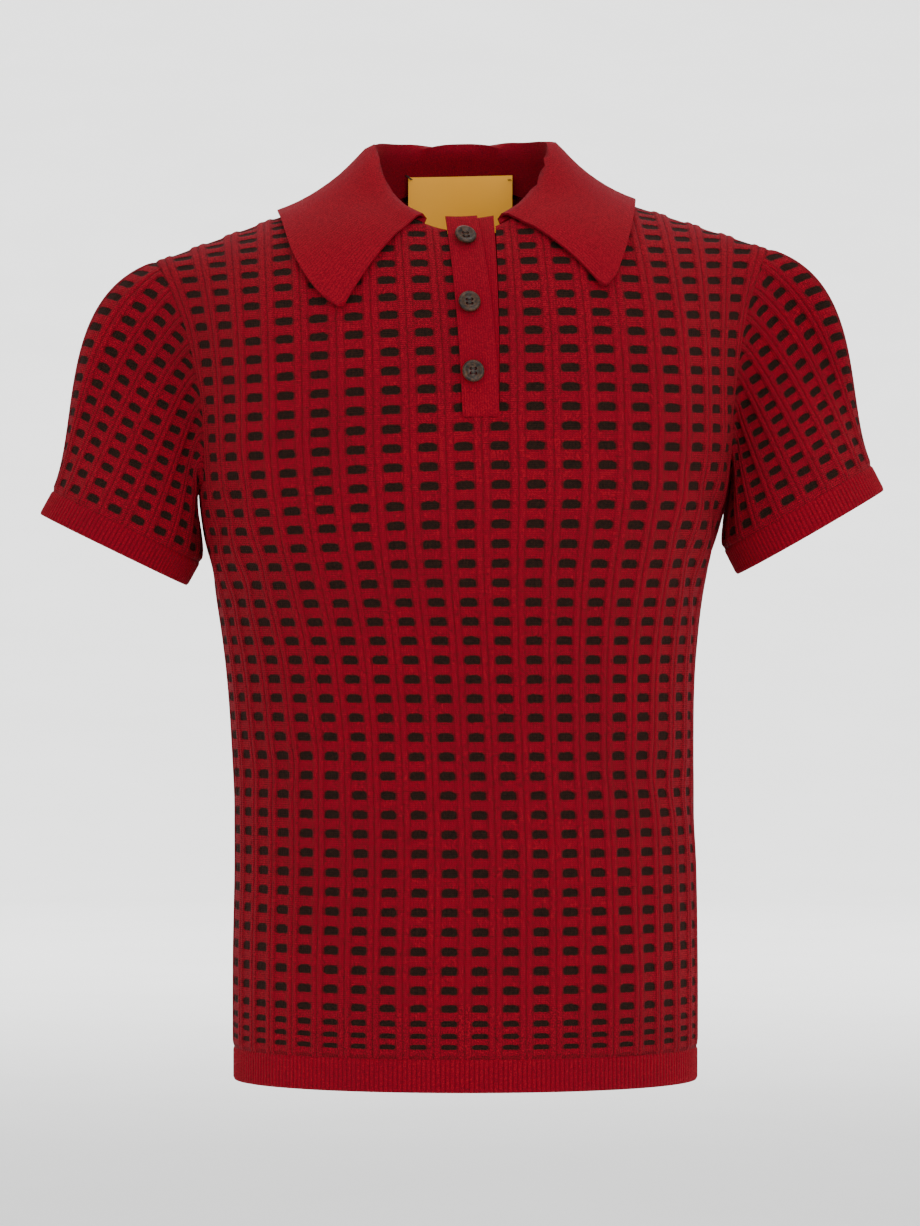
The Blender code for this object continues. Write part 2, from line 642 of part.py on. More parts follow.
clear_scene()
collection = bpy.data.collections.new("polo sweater")
cutters = bpy.data.collections.new("cutters")
bpy.context.scene.collection.children.link(collection)
bpy.context.scene.collection.children.link(cutters)

knit = knit_material("red knit", 0.9)
plain = knit_material("plain red knit", 0.9)
horn = knit_material("brown button", 0.35)
woven = knit_material("amber label", 0.7)

front = panel("front", True, knit)
back = panel("back", False, knit)
hem_band(plain)
for side, hand in ((-1, "right"), (1, "left")):
    sleeve(f"sleeve_{hand}", side, knit)
    cuff(f"cuff_{hand}", side, plain)

body = resting_surface((front, back))
collar(body, plain)
edge_trim = SEAM_GAP / RIB_PITCH
under = strip_rows((-0.5, -0.19), (0.5, 0.5), 4, 8, 0.0, edge_trim)
wall_object("placket_under", under, STRIP_WALL, plain)
over = strip_rows((-0.5, -0.5), (0.5, 0.14), 4, 8, PLACKET_LIFT, edge_trim)
wall_object("placket_over", over, STRIP_WALL, plain)
for number, place in enumerate(BUTTON_PLACES, 1):
    button(f"button_{number}", body, place, horn)
label(woven)
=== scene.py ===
import math

import bmesh
import bpy
import numpy as np
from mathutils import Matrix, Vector
from mathutils.bvhtree import BVHTree


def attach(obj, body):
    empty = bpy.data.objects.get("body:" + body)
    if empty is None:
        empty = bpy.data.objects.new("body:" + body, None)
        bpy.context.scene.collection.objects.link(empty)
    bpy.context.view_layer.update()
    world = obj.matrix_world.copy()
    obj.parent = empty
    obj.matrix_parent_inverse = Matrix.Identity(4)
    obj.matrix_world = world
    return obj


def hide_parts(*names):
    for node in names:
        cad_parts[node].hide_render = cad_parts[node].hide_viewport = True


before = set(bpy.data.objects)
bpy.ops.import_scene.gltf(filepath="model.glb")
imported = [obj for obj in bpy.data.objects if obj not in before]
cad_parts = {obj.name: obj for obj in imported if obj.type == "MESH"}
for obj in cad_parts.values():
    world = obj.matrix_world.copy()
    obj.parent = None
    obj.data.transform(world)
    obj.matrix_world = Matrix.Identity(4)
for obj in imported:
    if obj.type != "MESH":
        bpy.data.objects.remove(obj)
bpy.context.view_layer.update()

# Studio: a matt pale floor that rises in a wide sweep behind the garment, and a camera level with the
# garment's middle, 3.2 m in front of it. Soft boxes at the front and both sides give a nearly even light.
MM = 0.001
PHOTO_SCALE = 0.588                    # millimetres a pixel at the neck's depth
PHOTO_SIZE = (920, 1226)
NECK_PIXEL = (462, 190)                # where the origin lies in the photo
CAMERA_DISTANCE = 3200.0
SENSOR = 36.0
FLOOR_Z = -760.0
FLOOR_FRONT = -8000.0
BACKDROP_RUN = 21000.0                 # floor, sweep and wall, measured along the paper
BACKDROP_HALF_WIDTH = 8000.0
SWEEP_START = 6500.0
SWEEP_RADIUS = 3000.0


def colour(text):
    """Turns an sRGB hex colour into the linear one that shaders take."""
    parts = [int(text[k : k + 2], 16) / 255 for k in (1, 3, 5)]
    return tuple(p / 12.92 if p <= 0.04045 else ((p + 0.055) / 1.055) ** 2.4 for p in parts) + (1.0,)


def put(tree, kind, inputs=None, **settings):
    """Adds a node with its settings, and fills its inputs with values or links from other nodes."""
    made = tree.nodes.new(kind)
    for key, value in settings.items():
        setattr(made, key, value)
    for key, value in (inputs or {}).items():
        if isinstance(value, bpy.types.Node):
            tree.links.new(value.outputs[0], made.inputs[key])
        elif isinstance(value, bpy.types.NodeSocket):
            tree.links.new(value, made.inputs[key])
        else:
            made.inputs[key].default_value = value
    return made


def calc(tree, operation, *values):
    """Adds a math node on values, nodes or sockets."""
    return put(tree, "ShaderNodeMath", dict(enumerate(values)), operation=operation)


def ramp(tree, value, low, high, kind="LINEAR", top=1.0):
    """Maps a value from between low and high to between 0 and top."""
    return put(tree, "ShaderNodeMapRange", {"Value": value, "From Min": low, "From Max": high, "To Max": top},
               interpolation_type=kind)


def blend(tree, share, low, high):
    """Mixes two colours, each a hex text or a socket, and hands on the socket of the result."""
    low, high = (colour(value) if isinstance(value, str) else value for value in (low, high))
    return put(tree, "ShaderNodeMix", {0: share, 6: low, 7: high}, data_type="RGBA").outputs[2]


def new_material(name):
    """A material with its node tree and its shader, which each section then fills."""
    material = bpy.data.materials.new(name)
    material.use_nodes = True
    return material, material.node_tree, material.node_tree.nodes["Principled BSDF"]


def surface(tree, shader, tone, bump=None, **constants):
    """Gives a shader its colour, a bump of (height, strength, metres), and constants on its own sockets."""
    tree.links.new(tone, shader.inputs["Base Color"])
    if bump:
        made = put(tree, "ShaderNodeBump", {"Height": bump[0], "Strength": bump[1], "Distance": bump[2]})
        tree.links.new(made.outputs["Normal"], shader.inputs["Normal"])
    for key, value in constants.items():
        shader.inputs[key.replace("_", " ")].default_value = value


def link_piece(name, bm, material):
    """Makes the finished bmesh a piece of the scene at the origin."""
    mesh = bpy.data.meshes.new(name)
    bm.to_mesh(mesh)
    bm.free()
    mesh.materials.append(material)
    mesh.shade_smooth()
    piece = bpy.data.objects.new(name, mesh)
    bpy.context.scene.collection.objects.link(piece)
    return piece


paper, tree, shader = new_material("matt backdrop paper")
grain = put(tree, "ShaderNodeTexNoise", {"Scale": 60.0, "Detail": 3.0})
tone = blend(tree, grain.outputs["Fac"], "#f6f6f5", "#ffffff")
surface(tree, shader, tone, Roughness=0.95)

bm = bmesh.new()
bmesh.ops.create_grid(bm, x_segments=2, y_segments=90, size=1.0)
for vert in bm.verts:
    run = (vert.co.y + 1.0) / 2 * BACKDROP_RUN + FLOOR_FRONT
    bend = min(max((run - SWEEP_START) / SWEEP_RADIUS, 0.0), math.pi / 2)
    past = max(run - SWEEP_START - SWEEP_RADIUS * math.pi / 2, 0.0)
    y = min(run, SWEEP_START) + SWEEP_RADIUS * math.sin(bend)
    z = FLOOR_Z + SWEEP_RADIUS * (1 - math.cos(bend)) + past
    vert.co = Vector((vert.co.x * BACKDROP_HALF_WIDTH, y, z)) * MM
bmesh.ops.recalc_face_normals(bm, faces=bm.faces[:])
backdrop = link_piece("backdrop", bm, paper)

world = bpy.data.worlds.new("studio air")
world.use_nodes = True
world.node_tree.nodes["Background"].inputs["Color"].default_value = colour("#ffffff")
world.node_tree.nodes["Background"].inputs["Strength"].default_value = 0.95
bpy.context.scene.world = world

SOFT_BOXES = (
    # name, place, the point it faces, size, watts
    ("key", (1.2, -2.7, 1.3), (0.0, 0.0, -0.25), 1.6, 38.0),
    ("fill", (-1.7, -2.6, 0.5), (0.0, 0.0, -0.25), 2.0, 7.0),
    ("top", (0.0, -0.7, 2.2), (0.0, 0.0, -0.1), 1.2, 12.0),
    ("backdrop left", (-2.8, 4.0, 2.2), (-0.6, 9.5, 0.2), 2.0, 260.0),
    ("backdrop right", (2.8, 4.0, 2.2), (0.6, 9.5, 0.2), 2.0, 260.0),
    ("floor wash", (0.0, 3.2, 3.6), (0.0, 3.6, -0.76), 3.0, 90.0),
)
for name, place, target, size, watts in SOFT_BOXES:
    lamp = bpy.data.lights.new(name, "AREA")
    lamp.shape = "SQUARE"
    lamp.size = size
    lamp.energy = watts
    box = bpy.data.objects.new(name, lamp)
    box.location = place
    box.rotation_euler = (Vector(target) - Vector(place)).to_track_quat("-Z", "Y").to_euler()
    bpy.context.scene.collection.objects.link(box)

camera = bpy.data.cameras.new("camera")
camera.sensor_fit = "VERTICAL"
camera.sensor_height = SENSOR
camera.lens = SENSOR * CAMERA_DISTANCE / (PHOTO_SIZE[1] * PHOTO_SCALE)
camera.clip_end = 50.0
eye = bpy.data.objects.new("camera", camera)
eye.location = Vector(((PHOTO_SIZE[0] / 2 - NECK_PIXEL[0]) * PHOTO_SCALE, -CAMERA_DISTANCE,
                       (NECK_PIXEL[1] - PHOTO_SIZE[1] / 2) * PHOTO_SCALE)) * MM
eye.rotation_euler = (math.pi / 2, 0.0, 0.0)
bpy.context.scene.collection.objects.link(eye)
bpy.context.scene.camera = eye

# Ladder-grid knit of the body and sleeves: a fine merino-like wool in matt crimson, whose broad ribs stand
# over a second, dark brown yarn. Rungs of crimson cross between the ribs and leave the brown showing in
# short windows. Its pattern follows each panel's wales and courses, which the UV map "knit" counts.
WALE = 17.4                            # rib to rib
COURSE = 11.1                          # rung to rung
STITCHES_A_WALE = 12.0                 # 1.45 mm a stitch, coarser than the real gauge so that it shows
STITCHES_A_COURSE = 9.0
WINDOW_HALF_WIDTH = 0.255              # share of a wale
WINDOW_HALF_HEIGHT = 0.215             # share of a course
WINDOW_DOME = 0.45                     # how far the windows' ends sag below their middles
YARN_GRAIN = 1300.0                    # noise cells a metre, about as fine as the yarn's hairs


def knit_places(tree):
    """Sockets for the place on the garment, and for the places across and along its knit."""
    axes = put(tree, "ShaderNodeSeparateXYZ", {0: put(tree, "ShaderNodeUVMap", uv_map="knit")})
    return put(tree, "ShaderNodeTexCoord").outputs["Object"], axes.outputs["X"], axes.outputs["Y"]


def off_middle(tree, value):
    """How far a value lies from the middle between two whole numbers."""
    return calc(tree, "ABSOLUTE", calc(tree, "ADD", calc(tree, "FRACT", value), -0.5))


def waved(tree, value):
    """A sine wave with one turn to each whole number."""
    return calc(tree, "SINE", calc(tree, "MULTIPLY", value, 2 * math.pi))


knit, tree, shader = new_material("two-colour ladder knit, wool")
place, knit_x, knit_y = knit_places(tree)
ragged = put(tree, "ShaderNodeTexNoise", {"Vector": place, "Scale": 520.0, "Detail": 2.0})
shift = calc(tree, "ADD", ragged.outputs["Fac"], -0.5)
across = calc(tree, "MULTIPLY_ADD", shift, 0.07, knit_x)
along = calc(tree, "MULTIPLY_ADD", shift, 0.11, knit_y)
cell_x = off_middle(tree, across)
cell_y = calc(tree, "ADD", calc(tree, "FRACT", along), -0.5)
square = calc(tree, "POWER", cell_x, 2.0)
domed = calc(tree, "MULTIPLY_ADD", square, WINDOW_DOME, cell_y)
part_x = calc(tree, "POWER", calc(tree, "DIVIDE", cell_x, WINDOW_HALF_WIDTH), 4.0)
part_y = calc(tree, "ABSOLUTE", calc(tree, "DIVIDE", domed, WINDOW_HALF_HEIGHT))
part_y = calc(tree, "POWER", part_y, 4.0)
round_box = calc(tree, "ADD", part_x, part_y)
window = ramp(tree, round_box, 1.35, 0.75, "SMOOTHSTEP")
above_band = calc(tree, "GREATER_THAN", knit_y, 0.0)
window = calc(tree, "MULTIPLY", window, above_band)
rim = ramp(tree, round_box, 3.2, 1.2, "SMOOTHSTEP")
groove = ramp(tree, cell_x, 0.455, 0.5, "SMOOTHSTEP")
beside = calc(tree, "ABSOLUTE", calc(tree, "SUBTRACT", cell_x, 0.285))
beside = ramp(tree, beside, 0.04, 0.0, "SMOOTHSTEP")
stitch_x = off_middle(tree, calc(tree, "MULTIPLY", knit_x, STITCHES_A_WALE))
leg = waved(tree, calc(tree, "MULTIPLY_ADD", knit_y, STITCHES_A_COURSE, stitch_x))
valley = calc(tree, "MULTIPLY_ADD", stitch_x, 2.6, 0.0)
stitch = calc(tree, "MULTIPLY_ADD", leg, 0.35, valley)
heather = put(tree, "ShaderNodeTexNoise", {"Vector": place, "Scale": YARN_GRAIN, "Detail": 2.5,
                                           "Roughness": 0.7})
patches = put(tree, "ShaderNodeTexNoise", {"Vector": place, "Scale": 14.0, "Detail": 2.0})
yarn = calc(tree, "MULTIPLY_ADD", leg, 0.09, heather.outputs["Fac"])
speck = ramp(tree, yarn, 0.36, 0.66)
crimson = blend(tree, speck, "#48030d", "#a00b20")
worn = ramp(tree, patches.outputs["Fac"], 0.3, 0.7, top=0.22)
crimson = blend(tree, worn, crimson, "#520614")
shade = calc(tree, "MULTIPLY", groove, 0.45)
crimson = blend(tree, shade, crimson, "#2e0207")
shade = calc(tree, "MULTIPLY", beside, 0.35)
crimson = blend(tree, shade, crimson, "#3a0309")
shade = calc(tree, "MULTIPLY", rim, 0.40)
crimson = blend(tree, shade, crimson, "#300207")
brown = blend(tree, speck, "#0e0805", "#2c1a11")
yarns = blend(tree, window, crimson, brown)
height = calc(tree, "MULTIPLY", stitch, 0.30)
height = calc(tree, "MULTIPLY_ADD", heather.outputs["Fac"], 0.55, height)
height = calc(tree, "MULTIPLY_ADD", window, -1.3, height)
height = calc(tree, "MULTIPLY_ADD", groove, -0.9, height)
surface(tree, shader, yarns, (height, 0.9, 0.0007), Roughness=0.92, Specular_IOR_Level=0.12,
        Sheen_Weight=0.05, Sheen_Roughness=0.45, Sheen_Tint=colour("#e04050"))

# Front and back panels: knitted to shape in the ladder grid, about 40 by 58 cm each, sewn at the shoulders,
# the sides and the armholes. They hang from the shoulders, turned a little on the torso as in the photo.
KNIT_WALL = 1.6
RIB_RAISE = 1.0
WINDOW_SINK = 0.45
SEAM_GAP = 0.06                        # closer than the solids, so that the seams look sewn
CHEST_Z = -150.0
HEM_Z = -522.0
HEM_BAND = 19.0
UNDERARM_DROP = 28.0
HALF_WALES = 10.75
ARMHOLE_WALE = 9.25
NECK_WALE = 3.5
SHOULDER_TIP = 180.0
SHOULDER_HEIGHT = 15.0
SHOULDER_SLOPE = 0.345
SHOULDER_BEND = 25.0                   # how gently the shoulder line turns over at the neck
SHOULDER_TILT = 0.021
TILTED = (-260.0, -160.0)              # heights between which the tilt sets in
SHOULDER_Y = 8.0
NECK_SETBACK = 40.0                    # how far behind the shoulder line the wales meet at the nape
NECK_SETBACK_WIDTH = 36.0
NECK_HALF_WIDTH = 66.0
NECK_FRONT_DEPTH = 72.0
NECK_BACK_DEPTH = 52.0
PLACKET_BOTTOM = 13.0
PLACKET_HALF_WALES = 0.5
PLACKET_SPREAD = 4.3
SPREAD_FADE = 1.6                      # wales beside the slit over which its spread dies away
CLIMB = 0.62                           # share of a wale's rise that its lower handle takes
ARRIVE = 0.60
STEP_A_WALE = 12                       # mesh columns to a wale, every third one kept on the inside
INSIDE_STEP = 3
ROW = 2.0
UPPER_WALE = 200.0                     # length of a wale over the chest line, for its number of rows
RIB_SHOULDER = (0.17, 0.28)            # shares of a wale between which the rib falls off
RIB_GROOVE = 0.45                      # depth of its middle groove, and the groove's half width in wales
RIB_GROOVE_WIDTH = 0.04
YOKE_ROWS = 9                          # mesh rows from the chest line to the placket's lower end

RINGS = (
    # z, half width, front depth, back depth, centre x, flatness, twist
    (-522.0, 135.0, 103.0, 94.0, 2.0, 0.05, 17.0),
    (-450.0, 135.0, 102.0, 93.0, 2.0, 0.05, 17.0),
    (-388.0, 134.0, 100.0, 88.0, 2.0, 0.05, 17.0),
    (-330.0, 134.0, 98.0, 84.0, 0.5, 0.06, 16.5),
    (-270.0, 137.3, 101.0, 86.0, -1.0, 0.10, 15.5),
    (-229.0, 143.2, 107.0, 91.0, -1.5, 0.20, 14.0),
    (-205.0, 149.0, 109.0, 95.0, -0.5, 0.28, 12.5),
    (-178.0, 154.0, 109.0, 98.0, 1.0, 0.36, 11.0),
    (-150.0, 156.0, 107.0, 99.0, 2.0, 0.42, 9.0),
)
# rows of windows crowd together just over the hem band: height over the band, and the row's number
ROWS_OVER_BAND = ((7.0, 0.5), (13.1, 1.5), (20.2, 2.5), (28.7, 3.5), (39.1, 4.5))


def smoothstep(low, high, value):
    """0 below low, 1 above high, and a smooth rise between them."""
    part = np.clip((np.asarray(value, float) - low) / (high - low), 0.0, 1.0)
    return part * part * (3.0 - 2.0 * part)


def through_rows(rows, column, at):
    """Reads one column of a table at any place between its rows, on a smooth curve through them."""
    places = np.array([row[0] for row in rows])
    values = np.array([row[column] for row in rows])
    slopes = np.gradient(values, places)
    at = np.clip(np.asarray(at, float), places[0], places[-1])
    row = np.clip(np.searchsorted(places, at, side="right") - 1, 0, len(places) - 2)
    step = places[row + 1] - places[row]
    t = (at - places[row]) / step
    rise = values[row] * (1 + 2 * t) * (1 - t) ** 2 + values[row + 1] * t * t * (3 - 2 * t)
    return rise + step * (slopes[row] * t * (1 - t) ** 2 - slopes[row + 1] * t * t * (1 - t))


def half_ring(half_width, depth, flatness, shares):
    """Points at even lengths along half a ring, from its left side over its middle to its right side."""
    turns = np.linspace(-math.pi / 2, math.pi / 2, 721)
    x = half_width * np.sin(turns)
    y = depth * np.cos(turns) * (1 + flatness * np.sin(turns) ** 2)
    run = np.concatenate(([0.0], np.cumsum(np.hypot(np.diff(x), np.diff(y)))))
    at = shares * run[-1]
    return np.interp(at, run, x), np.interp(at, run, y), run[-1]


LEVELS = np.linspace(HEM_Z, CHEST_Z, 125)
SHARES = np.linspace(0.0, 1.0, 181)
ring_x = []
ring_y = []
front_half = []
for level in LEVELS:
    wide, front_depth, back_depth, middle, flat = (float(through_rows(RINGS, k, level)) for k in range(1, 6))
    fx, fy, run = half_ring(wide, front_depth, flat, SHARES)
    bx, by, _ = half_ring(wide, back_depth, flat, SHARES)
    ring_x.append(middle + np.concatenate([fx, bx[::-1][1:]]))
    ring_y.append(np.concatenate([-fy, by[::-1][1:]]))
    front_half.append(run / 2)
ring_x = np.array(ring_x)
ring_y = np.array(ring_y)
front_half = np.array(front_half)


def torso(z, wales, is_front):
    """Points of the torso's rings at heights z and wales of the front or back panel, arrays of one shape."""
    z, wales = np.broadcast_arrays(np.asarray(z, float), np.asarray(wales, float))
    level = (np.clip(z, LEVELS[0], LEVELS[-1]) - LEVELS[0]) / (LEVELS[1] - LEVELS[0])
    low = np.minimum(level.astype(int), len(LEVELS) - 2)
    up = level - low
    twist = through_rows(RINGS, 6, z) / np.interp(z, LEVELS, front_half)
    place = (wales / HALF_WALES + twist + (0.0 if is_front else 2.0) + 1.0) % 4.0
    spot = place / 2.0 * (len(SHARES) - 1)
    left = np.minimum(spot.astype(int), ring_x.shape[1] - 2)
    side = spot - left
    flat = []
    for table in (ring_x, ring_y):
        near = table[low, left] * (1 - side) + table[low, left + 1] * side
        far = table[low + 1, left] * (1 - side) + table[low + 1, left + 1] * side
        flat.append(near * (1 - up) + far * up)
    return np.stack([flat[0], flat[1], z], axis=-1)


def wale_handles(wales, is_front):
    """The four handles of each wale's curve from the chest line to the shoulder seam."""
    low = torso(np.full(len(wales), CHEST_Z), wales, is_front)
    size = np.abs(wales)
    outer = (NECK_HALF_WIDTH
             + (SHOULDER_TIP - NECK_HALF_WIDTH) * (size - NECK_WALE) / (ARMHOLE_WALE - NECK_WALE))
    x = np.where(size < NECK_WALE, NECK_HALF_WIDTH * size / NECK_WALE, outer)
    z = SHOULDER_HEIGHT - SHOULDER_SLOPE * (np.sqrt(x * x + SHOULDER_BEND**2) - SHOULDER_BEND)
    y = SHOULDER_Y + NECK_SETBACK * np.exp(-((x / NECK_SETBACK_WIDTH) ** 2))
    y = y + (-0.5 if is_front else 0.5) * SEAM_GAP
    high = np.stack([np.sign(wales) * (x if is_front else -x), y, z], axis=-1)
    climb = np.zeros_like(low)
    climb[:, 2] = CLIMB * (high[:, 2] - low[:, 2])
    arrive = np.zeros_like(low)
    arrive[:, 1] = ARRIVE * (high[:, 1] - low[:, 1])
    return low, low + climb, high - arrive, high


def on_curve(handles, t):
    """Points at t along cubic curves with four handles each."""
    t = np.asarray(t)[:, None]
    a, b, c, d = handles
    return a * (1 - t) ** 3 + 3 * b * t * (1 - t) ** 2 + 3 * c * t * t * (1 - t) + d * t**3


def wale_ends(handles, wales, is_front):
    """How far each wale runs: to the shoulder seam, or to the edge of the neck opening."""
    depth = NECK_FRONT_DEPTH if is_front else NECK_BACK_DEPTH
    low = np.zeros(len(wales))
    high = np.ones(len(wales))
    for _ in range(40):
        middle = (low + high) / 2
        p = on_curve(handles, middle)
        outside = (p[:, 0] / NECK_HALF_WIDTH) ** 2 + ((p[:, 1] - SHOULDER_Y) / depth) ** 2 > 1.0
        low = np.where(outside, middle, low)
        high = np.where(outside, high, middle)
    return np.where(np.abs(wales) < NECK_WALE, low, 1.0)


def spread_slit(points, wales, share):
    """Pulls the slit's edges apart towards the neck, and the wales beside it a little."""
    size = np.abs(wales)
    reach = np.where(size < PLACKET_HALF_WALES, size / PLACKET_HALF_WALES,
                     np.exp(-(size - PLACKET_HALF_WALES) / SPREAD_FADE))
    points[..., 0] += PLACKET_SPREAD * np.sign(wales) * reach * share
    return points


def panel_middle(wales, is_front, low_rows, high_rows):
    """A panel's middle surface as rows of points, from the hem band up to the shoulder seam and neck."""
    over = np.clip((np.abs(wales) - ARMHOLE_WALE) / (HALF_WALES - ARMHOLE_WALE), 0.0, 1.0)
    scoop = UNDERARM_DROP * np.sqrt(2 * over - over * over)
    bottom = HEM_Z + HEM_BAND + SEAM_GAP
    rows = [torso(bottom + part * (CHEST_Z - scoop - bottom), wales, is_front)
            for part in np.linspace(0.0, 1.0, low_rows)]
    handles = wale_handles(np.clip(wales, -ARMHOLE_WALE, ARMHOLE_WALE), is_front)
    ends = wale_ends(handles, wales, is_front)
    first = PLACKET_BOTTOM / (3 * CLIMB * (handles[3][:, 2] - CHEST_Z))
    rows += [on_curve(handles, first * part) for part in np.linspace(0.0, 1.0, YOKE_ROWS + 1)[1:-1]]
    for part in np.linspace(0.0, 1.0, high_rows):
        points = on_curve(handles, first + part * (ends - first))
        rows.append(spread_slit(points, wales, part) if is_front else points)
    return np.array(rows)


def tilt(points):
    """Raises the garment's left shoulder a little over its right one."""
    points = np.array(points, float)
    points[..., 2] += SHOULDER_TILT * points[..., 0] * smoothstep(*TILTED, points[..., 2])
    return points


def normals_of(middle, closed):
    """Unit normals of a grid of points, whose rows are rings when it is closed."""
    if closed:
        across = np.roll(middle, -1, axis=1) - np.roll(middle, 1, axis=1)
    else:
        across = np.gradient(middle, axis=1)
    normal = np.cross(across, np.gradient(middle, axis=0))
    return normal / np.maximum(np.linalg.norm(normal, axis=-1, keepdims=True), 1e-9)


def cloth(name, middle, thickness, material, count, lift=None, keep=None, closed=False, normals=None):
    """A thin closed wall on a grid of middle points. The outside is fine and lifted, the inside plain and
    coarser, and `count` gives each point's place in the knit, for the UV map."""
    rows, columns = middle.shape[:2]
    step = INSIDE_STEP
    if normals is None:
        normals = normals_of(middle, closed)
    outer = middle + normals * (thickness / 2 + (0.0 if lift is None else lift[..., None]))
    inner = tilt(middle - normals * (thickness / 2)) * MM
    outer = tilt(outer) * MM
    bm = bmesh.new()
    bmesh.ops.create_grid(bm, x_segments=columns - (0 if closed else 1), y_segments=rows - 1, size=1.0)
    bm.verts.ensure_lookup_table()
    wide = columns + (1 if closed else 0)
    for index, vert in enumerate(bm.verts):
        vert.co = outer[index // wide, index % wide % columns]
    uv = bm.loops.layers.uv.new("knit")
    spot = {vert: divmod(index, wide) for index, vert in enumerate(bm.verts)}
    dropped = []
    for face in bm.faces:
        corners = [spot[vert] for vert in face.verts]
        r = min(c[0] for c in corners)
        c = min(c[1] for c in corners)
        if keep is not None and not keep[r, c]:
            dropped.append(face)
            continue
        for loop in face.loops:
            loop[uv].uv = count(*spot[loop.vert])
    grid_verts = list(bm.verts)
    inside = {}

    def inside_vert(r, c):
        key = (r, c % columns) if closed else (r, c)
        if key not in inside:
            inside[key] = bm.verts.new(inner[key[0], key[1] % columns])
        return inside[key]

    def add_face(verts, spots):
        face = bm.faces.new(verts)
        for loop, at in zip(face.loops, spots):
            loop[uv].uv = count(*at)

    edges = {}
    for r in range(0, rows - 1, step):
        for c in range(0, wide - 1, step):
            if keep is not None and not keep[r, c]:
                continue
            corners = ((r, c), (r, c + step), (r + step, c + step), (r + step, c))
            spots = corners[::-1]
            add_face([inside_vert(*at) for at in spots], spots)
            for a, b in zip(corners, corners[1:] + corners[:1]):
                ka = (a[0], a[1] % columns) if closed else a
                kb = (b[0], b[1] % columns) if closed else b
                if (kb, ka) in edges:
                    del edges[(kb, ka)]
                else:
                    edges[(ka, kb)] = (a, b)
    for a, b in edges.values():
        line = [(a[0] + (b[0] - a[0]) * k // step, a[1] + (b[1] - a[1]) * k // step) for k in range(step + 1)]
        verts = [grid_verts[r * wide + c] for r, c in line]
        add_face(verts[::-1] + [inside_vert(*a), inside_vert(*b)], line[::-1] + [a, b])
    bmesh.ops.delete(bm, geom=dropped, context="FACES")
    bmesh.ops.remove_doubles(bm, verts=bm.verts[:], dist=2e-6)
    return link_piece(name, bm, material)


def dress(piece, node):
    """Keeps a wall's cut edges crisp while its faces stay smooth, and shows it in its solid's place."""
    piece.data.set_sharp_from_angle(angle=math.radians(62))
    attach(piece, "root")
    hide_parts(node)


def rib_profile(wales):
    """Height of the double rib across a wale: two rounded ridges with a groove between them."""
    off = np.abs(wales - np.round(wales))
    return (1 - smoothstep(*RIB_SHOULDER, off)) * (1 - RIB_GROOVE * np.exp(-((off / RIB_GROOVE_WIDTH) ** 2)))


def window_profile(wales, courses):
    """1 in the brown windows between ribs and rungs, 0 outside them."""
    off_x = np.abs(wales - np.floor(wales) - 0.5) / WINDOW_HALF_WIDTH
    off_y = np.abs(courses - np.floor(courses) - 0.5) / WINDOW_HALF_HEIGHT
    return (1 - smoothstep(0.6, 1.3, off_x**4 + off_y**4)) * (courses > 0)


def courses_over_band(height):
    """The number of the course at a height over the band, even above the crowded rows."""
    far = 1000.0
    heights = [0.0] + [row[0] for row in ROWS_OVER_BAND] + [ROWS_OVER_BAND[-1][0] + far]
    numbers = [-0.6] + [row[1] for row in ROWS_OVER_BAND] + [ROWS_OVER_BAND[-1][1] + far / COURSE]
    return np.interp(height, heights, numbers)


CREASES = (
    # panel, wale, height, angle from upright in degrees, half length, half width, depth
    ("front", -8.6, -196.0, 58.0, 46.0, 8.0, -1.8),
    ("front", -7.6, -226.0, 48.0, 40.0, 9.0, -2.0),
    ("front", 8.3, -190.0, -56.0, 44.0, 8.0, -2.5),
    ("front", 7.5, -225.0, -44.0, 42.0, 10.0, -2.0),
    ("front", -6.0, -330.0, 72.0, 60.0, 14.0, -2.2),
    ("front", 6.5, -345.0, -70.0, 62.0, 15.0, -2.1),
    ("front", -3.0, -455.0, 8.0, 46.0, 13.0, 2.0),
    ("front", 4.6, -462.0, -6.0, 44.0, 14.0, 2.0),
    ("front", 8.7, -120.0, 12.0, 38.0, 8.0, 1.8),
    ("front", -8.6, -118.0, -14.0, 34.0, 8.0, 1.4),
    ("back", -8.4, -200.0, 55.0, 48.0, 9.0, -2.7),
    ("back", 8.4, -196.0, -55.0, 46.0, 9.0, -2.7),
    ("back", -5.0, -300.0, 74.0, 66.0, 14.0, -2.4),
    ("back", 5.2, -318.0, -72.0, 64.0, 14.0, -2.4),
    ("back", 0.0, -350.0, 88.0, 80.0, 15.0, -1.8),
    ("back", -4.0, -458.0, 6.0, 46.0, 14.0, 2.0),
    ("back", 3.5, -450.0, -5.0, 46.0, 14.0, 2.0),
    ("back", 0.0, -75.0, 2.0, 50.0, 16.0, -1.5),
)


def crease_lift(panel, wales, heights):
    """Soft troughs and ridges of the worn cloth, each a smooth stroke on the panel."""
    lift = np.zeros(np.broadcast(wales, heights).shape)
    for name, wale, height, angle, half_length, half_width, depth in CREASES:
        if name != panel:
            continue
        across = (wales - wale) * WALE
        up = heights - height
        turn = math.radians(angle)
        lengthwise = up * math.cos(turn) + across * math.sin(turn)
        sideways = across * math.cos(turn) - up * math.sin(turn)
        bend = sideways + 6.0 * (lengthwise / half_length) ** 2
        lift += depth * np.exp(-((lengthwise / half_length) ** 2) - (bend / half_width) ** 2)
    return lift


